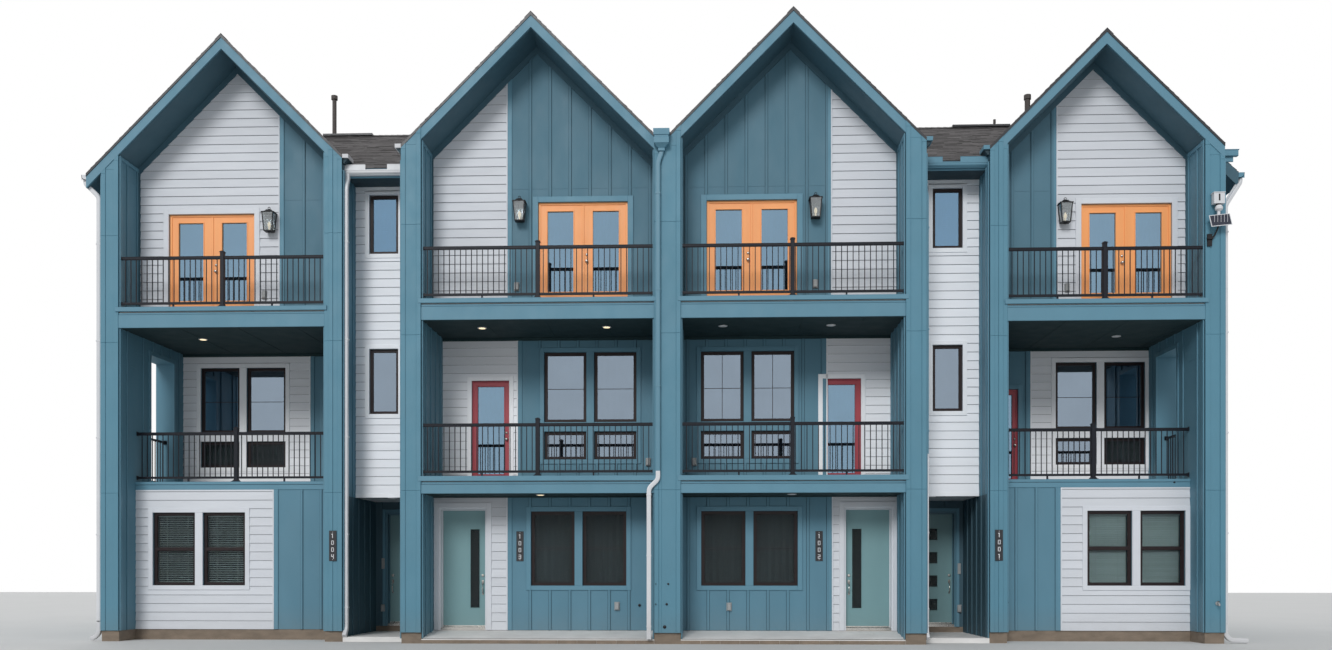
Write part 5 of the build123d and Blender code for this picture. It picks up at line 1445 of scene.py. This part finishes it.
for low, high in GUTTER_BOXES:
    gutter(teal_gutters if low[0] > 4 else white_gutters, low, high)
for (left, right), shape, guards in zip(BAYS, (white_gutters, teal_gutters),
                                        ((0.43, 0.47), (0.45, 0.55))):
    fascia, lip = street(0.748), street(0.626)
    # Board behind the gutter and the soffit under it in very dark teal: painted shade under the
    # eave
    fascia.board(shaded_bay_eave, left, right, EAVE_SOFFIT - 0.004, 9.70, 0.0, -0.022)
    fascia.board(teal_gutters, left, right, EAVE_SOFFIT - 0.012, EAVE_SOFFIT + 0.026, 0.010,
                 -0.002)
    shaded_bay_eave.box((left, 0.75, EAVE_SOFFIT), (right, BAY_WALL, EAVE_SOFFIT + 0.012), 0.5)
    # Splash guards on the lip of the gutter, at both ends of it
    for a, b in ((left, left + guards[0]), (right - guards[1], right)):
        lip.board(shape, a, b, 9.690, 9.800, 0.004, 0.0, 0.001, 0.9)
        lip.board(shape, a, b, 9.796, 9.802, 0.008, -0.004, 0.001, 0.9)


# Ends of the eaves that return beside the wings
for x, side, house in BAY_SIDES:
    z, front = EAVE - 0.045, house.front
    u0, u1 = sorted((x, x + side * 0.125))
    (white_gutters if x < 0 else teal_gutters).loft(
        [oblong(u0, u1, front - 0.04, front + 0.30, z),
         oblong(u0, u1, front - 0.05, front + 0.30, z + 0.075)], 0.9)
    # Underside of the return in very dark teal: painted shade
    shaded_bay_eave.loft([oblong(x, x + side * 0.03, front, front + 0.28, z - 0.10),
                     oblong(x, x + side * 0.11, front, front + 0.28, z)], 0.3)
for u1, v0, v1, out, edge, shade in ((11.50, 9.70, 9.80, 0.03, 0.004, 0.5),
                                     (11.58, 9.80, 9.925, 0.09, 0.01, 0.7),
                                     (11.59, 9.915, 9.930, 0.10, 0.003, 0.9)):
    street(0.86).board(teal_gutters, D_OUTER, u1, v0, v1, out, 0.0, edge, shade)

# Downspouts with rounded elbows and bands
spouts = Shape("spouts", "spout_paint", "white_metal", ("downspouts",))
straps = Shape("spout_straps", "spout_paint", "white_metal")
SPOUT_WIDE, SPOUT_DEEP, BAY_SPOUT_DEEP, SPOUT_THIN = 0.0425, 0.030, 0.046, 0.026
END_SPOUT = (0.045, 0.042)
SPOUT_SECTION = ((-1, -0.55), (-0.8, -1), (-0.35, -1), (-0.25, -0.8), (0.25, -0.8), (0.35, -1),
                 (0.8, -1), (1, -0.55), (1, 0.55), (0.8, 1), (-0.8, 1), (-1, 0.55))
HEAD_X = 0.0
SPOUT_Y = -0.086


def rounded(path, radius=0.07, steps=4):
    """Path with an arc in place of each corner."""
    points = [Vector(p) for p in path]
    made = [points[0]]
    for before, at, after in zip(points, points[1:], points[2:]):
        r = min(radius, (at - before).length * 0.45, (after - at).length * 0.45)
        start, end = at + (before - at).normalized() * r, at + (after - at).normalized() * r
        for i in range(steps + 1):
            t = i / steps
            made.append(start * (1 - t) ** 2 + at * 2 * t * (1 - t) + end * t * t)
    return made + [points[-1]]


def spout(path, normal, across, along):
    """Ribbed spout along a path in one plane; normal is the way out of that plane."""
    normal = Vector(normal)
    points = rounded(path)
    outlines = []
    for i, point in enumerate(points):
        ahead = (points[min(i + 1, len(points) - 1)] - points[max(i - 1, 0)]).normalized()
        side = ahead.cross(normal)
        outlines.append([point + normal * (u * across) + side * (v * along)
                         for u, v in SPOUT_SECTION])
    for pair in zip(outlines, outlines[1:]):
        spouts.loft(pair, 0.5)


def bands(x, y, heights, half_x, half_y):
    """Bands round a spout."""
    for z in heights:
        straps.box((x - half_x - 0.004, y - half_y - 0.004, z - 0.016),
                   (x + half_x + 0.004, y + half_y + 0.004, z + 0.016), 0.5)


for (low, high), y0, end, out, reach in (
        (GUTTER_BOXES[0], 0.58, (A_OUTER - 0.095, 0.58), -1, 0.17),
        (GUTTER_BOXES[-1], 0.93, (D_OUTER + 0.050, 0.57), 1, 0.44)):
    start, z = ((low[0] + high[0]) / 2, y0), low[2]
    run = Vector((end[0] - start[0], end[1] - start[1], 0))
    spout([(*start, z + 0.03), (*start, z - 0.06), (*end, z - 0.06 - run.length), (*end, 0.40)],
          run.normalized().cross(Vector((0, 0, 1))), *END_SPOUT)
    x, y = end
    spout([(x, y, 0.42), (x, y, 0.17), (x + out * 0.10, y, 0.07), (x + out * reach, y, 0.055)],
          (0, 1, 0), *END_SPOUT)
    bands(x, y, (8.2, 6.2, 4.2, 2.2), 0.045, 0.045)
for x, front, deep in ((A_WING + 0.048, 0.58, BAY_SPOUT_DEEP),
                       (C_OUTER + 0.034, 0.08, SPOUT_DEEP)):
    fall = 0.16 + abs(BAY_GUTTER_Y - front)
    spout([(x, BAY_GUTTER_Y, BAY_GUTTER_Z + 0.03), (x, BAY_GUTTER_Y, BAY_GUTTER_Z - 0.10),
           (x, front, BAY_GUTTER_Z - fall), (x, front, 0.26), (x, front - 0.12, 0.12)],
          (1, 0, 0), deep, SPOUT_WIDE)
    bands(x, front, (8.2, 6.2, 4.2, 2.2, 0.7), deep, SPOUT_WIDE)
head_low, head_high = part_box("conductor_head")
spout([(HEAD_X + dx, SPOUT_Y, z)
       for dx, z in ((0, head_low.z + 0.03), (0, head_low.z - 0.06), (-0.07, head_low.z - 0.26),
                     (-0.07, 3.25), (-0.25, 3.08), (-0.25, 0.10))],
      (0, -1, 0), SPOUT_THIN, SPOUT_WIDE)
bands(HEAD_X - 0.07, SPOUT_Y, (8.9, 7.0, 5.1), SPOUT_WIDE, SPOUT_THIN)
bands(HEAD_X - 0.25, SPOUT_Y, (2.95, 1.75, 0.35), SPOUT_WIDE, SPOUT_THIN)

# Conductor head: flared rim, body with raised edges, hopper and collar
head = Shape("conductor_hopper", "teal_trim", "trim", ("conductor_head",))
HEAD_PROFILE = ((0.0, 0.40, 0.55), (0.05, 0.40, 0.55), (0.055, 0.36, 0.50), (0.125, 0.84, 0.86),
                (0.135, 0.92, 0.93), (0.245, 0.92, 0.93), (0.255, 0.86, 0.88), (0.285, 0.86, 0.88),
                (0.292, 0.97, 0.97), (0.385, 1.0, 1.0), (0.41, 1.0, 1.0))
size = head_high - head_low
head_rings = [oblong(HEAD_X - size.x / 2 * a, HEAD_X + size.x / 2 * a, head_high.y - size.y * b,
                     head_high.y, head_low.z - 0.04 + z * size.z / 0.41)
              for z, a, b in HEAD_PROFILE]
for pair in zip(head_rings, head_rings[1:]):
    head.loft(pair, 0.5)

# Flashings at the feet of the vent pipes
vent_feet = Shape("vent_flashings", "vent_brown", "lantern_metal", smooth=True)
for low, high in islands("vent_pipes"):
    r = (high[0] - low[0]) / 2
    vent_feet.tube([((low[0] + high[0]) / 2, (low[1] + high[1]) / 2, low[2] + up)
                    for up in (0.02, 0.10, 0.14)], [r * 1.5, r * 0.95, r * 0.75], 14)

# Camera, bracket and small solar panel on the right-hand wing
housing = Shape("camera_housing", "white_aluminium", "white_metal")
bracket = Shape("camera_bracket", "lantern_black", "lantern_metal")
cells = Shape("solar_cells", "solar_cell", "dark_frame")
GX, GY, PANEL_X, PANEL_Z = 11.005, 0.46, 11.015, 8.365
TILT, ROLL = math.radians(14), math.radians(6)
for shape, x0, x1, y0, y1, z0, z1, shade in (
        (housing, -0.105, 0.105, -0.13, -0.01, 8.705, 8.915, 0.5),
        (housing, -0.115, 0.115, -0.14, 0, 8.915, 8.930, 0.5),
        (bracket, -0.014, 0.014, -0.136, -0.128, 8.76, 8.89, 0.5),
        (bracket, -0.19, -0.10, -0.030, 0.004, 7.89, 8.13, 0.5),
        (bracket, -0.20, -0.09, -0.060, -0.020, 8.02, 8.08, 0.4)):
    shape.box((GX + x0, GY + y0, z0), (GX + x1, GY + y1, z1), shade)
for shape, path, radius, sides in (
        (bracket, ((0, -0.07, 8.71), (0, -0.07, 8.665)), 0.05, 16),
        (housing, ((0, -0.09, 8.665), (0, -0.095, 8.625), (0, -0.10, 8.585), (0, -0.105, 8.555)),
         (0.055, 0.075, 0.070, 0.030), 18),
        (housing, ((0, -0.09, 8.56), (0, -0.09, 8.46)), 0.030, 14),
        (bracket, ((0, -0.06, 8.48), (0, -0.06, 8.24), (-0.06, -0.05, 8.10),
                   (-0.11, -0.03, 8.02)), 0.016, 8)):
    shape.tube([(GX + x, GY + y, z) for x, y, z in path], radius, sides)
for shape, half_x, half_s, out in ((housing, 0.205, 0.125, 0.0), (cells, 0.19, 0.11, 0.004)):
    panel = []
    for dx, ds in ((-half_x, -half_s), (half_x, -half_s), (half_x, half_s), (-half_x, half_s)):
        across = dx * math.cos(ROLL) - ds * math.sin(ROLL)
        upward = dx * math.sin(ROLL) + ds * math.cos(ROLL)
        panel.append((PANEL_X + across,
                      GY - 0.145 + upward * math.sin(TILT) - out * math.cos(TILT),
                      PANEL_Z + upward * math.cos(TILT) + out * math.sin(TILT)))
    shape.loft([panel, [(x, y - 0.012 * math.cos(TILT), z) for x, y, z in panel]], 0.5)
for i in range(1, 6):
    across = -0.19 + 0.38 * i / 6
    x, z = PANEL_X + across, PANEL_Z + across * math.sin(ROLL)
    housing.box((x - 0.003, GY - 0.172, z - 0.105), (x + 0.003, GY - 0.168, z + 0.105), 0.5)

# Sloping aprons of the two inner porches, with the footing under their front edge
aprons = Shape("porch_aprons", "trowelled_concrete", "concrete")
footings = Shape("porch_footings", "plinth_stone", "concrete")
for house in (B, C):
    wall_y = house.ground - 0.002
    top = [(x, y, PORCH + 0.004 if y == 0 else GROUND_FLOOR - 0.006)
           for x, y, _ in oblong(house.left, house.right, 0.0, wall_y, 0)]
    aprons.loft([oblong(house.left, house.right, 0.0, wall_y, PORCH - 0.01), top], 0.5)
    x = house.left
    while x < house.right - 0.05:
        far = min(x + 0.39, house.right)
        street(0.0).board(footings, x, far - 0.004, 0.0, PORCH - 0.030, 0.012, -0.01, 0.003)
        x = far

# Entry doors: lite mouldings, bottom sweep, handle set and lock
LATCH = ((0.0, 0.033), (0.010, 0.032), (0.016, 0.024), (0.020, 0.022), (0.022, 0.010))
INNER_KNOB = ((0.0, 0.034), (0.010, 0.033), (0.014, 0.016), (0.050, 0.014), (0.052, 0.028),
              (0.066, 0.024))
PULL = ((0.008, -0.002, 0.013), (0.045, -0.006, 0.013), (0.058, -0.030, 0.012),
        (0.060, -0.120, 0.011), (0.055, -0.195, 0.011), (0.035, -0.228, 0.011),
        (0.008, -0.234, 0.011))
for letter in "abcd":
    low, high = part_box(f"entry_door_{letter}")
    body = f"door_{letter}"
    face = street(low.y)
    mould = Shape(f"entry_lite_frames_{letter}", "entry_paint", "entry_paint", body=body)
    metal = Shape(f"entry_hardware_{letter}", "satin_nickel", "handle_metal",
                  (f"entry_handle_{letter}",), body)
    for lite in islands(f"entry_door_glass_{letter}"):
        for strip in strips_round(band(*lite), 0.020):
            for side in (face, Wall("y", high.y, 1)):
                side.board(mould, *strip, 0.008, -0.002, 0.003)
    x = low.x + 0.07 if letter in "ac" else high.x - 0.07
    z = low.z + 0.93
    metal.turned((x, low.y, z + 0.145), LATCH, 22)
    face.board(metal, x - 0.024, x + 0.024, z - 0.030, z + 0.050, 0.012, 0.0, 0.005)
    face.board(metal, x - 0.016, x + 0.016, z - 0.260, z - 0.205, 0.012, 0.0, 0.005)
    metal.tube([(x, low.y - out, z + up) for out, up, _ in PULL], [r for *_, r in PULL], 12)
    face.board(metal, x - 0.014, x + 0.014, z + 0.012, z + 0.022, 0.052, 0.01, 0.003)
    metal.turned((x, high.y, z), INNER_KNOB, 22, 1)
    metal.box((low.x + 0.004, low.y - 0.006, low.z + 0.004),
              (high.x - 0.004, low.y, low.z + 0.030))

# Stops round the entry doors
stops = Shape("door_stops", "jamb_paint", "jamb_paint")
for letter in "abcd":
    low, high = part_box(f"entry_door_{letter}")
    for strip in ((low.x - 0.009, low.x + 0.010, low.z, high.z + 0.004),
                  (high.x - 0.012, high.x + 0.007, low.z, high.z + 0.004),
                  (low.x, high.x, high.z - 0.010, high.z + 0.007)):
        street(low.y - 0.012).board(stops, *strip, 0.012, 0.0, 0.002)

for shape in PIECES:
    shape.build()

# Floor, light and camera
slab = Shape("floor", "floor_pale", "")
slab.box((-60, -40, -0.3), (60, 60, 0.0), 0.5)
mesh = bpy.data.meshes.new("floor")
mesh.from_pydata(slab.corners, [], slab.faces)
mesh.materials.append(PAINT["floor_pale"])
floor = bpy.data.objects.new("floor", mesh)
bpy.context.scene.collection.objects.link(floor)
floor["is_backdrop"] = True

world = bpy.data.worlds.new("soft_light")
bpy.context.scene.world = world
world.use_nodes = True
tree = world.node_tree
tree.nodes.clear()
path = add(tree, "LightPath", {})
light = add(tree, "Background", {"Color": (0.93, 0.96, 1.0, 1.0), "Strength": 0.56})
shown = add(tree, "Background", {"Color": (1.0, 1.0, 1.0, 1.0), "Strength": 1.0})
seen = add(tree, "Math", {0: path.outputs["Is Camera Ray"], 1: path.outputs["Is Glossy Ray"]},
           operation="MAXIMUM")
seen = add(tree, "Math", {0: seen.outputs[0], 1: path.outputs["Is Transmission Ray"]},
           operation="MAXIMUM")
mix = add(tree, "MixShader", {0: seen.outputs[0], 1: light.outputs[0], 2: shown.outputs[0]})
add(tree, "OutputWorld", {"Surface": mix.outputs[0]})


def lamp(name, turn, strength, angle):
    data = bpy.data.lights.new(name, "SUN")
    data.energy = strength
    data.angle = math.radians(angle)
    item = bpy.data.objects.new(name, data)
    item.rotation_euler = tuple(math.radians(t) for t in turn)
    bpy.context.scene.collection.objects.link(item)


lamp("front_light", (59, 0, -14), 1.50, 20)
lamp("fill_light", (62, 0, 200), 0.6, 60)

camera = bpy.data.cameras.new("camera")
camera.sensor_width = 36.0
camera.lens = CAMERA_LENS
camera.shift_y = CAMERA_SHIFT
camera.clip_end = 500.0
viewer = bpy.data.objects.new("camera", camera)
viewer.location = CAMERA_PLACE
viewer.rotation_euler = (math.radians(90), 0.0, math.radians(CAMERA_TURN))
bpy.context.scene.collection.objects.link(viewer)
bpy.context.scene.camera = viewer
bpy.context.scene.view_settings.view_transform = "Standard"

low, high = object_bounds()
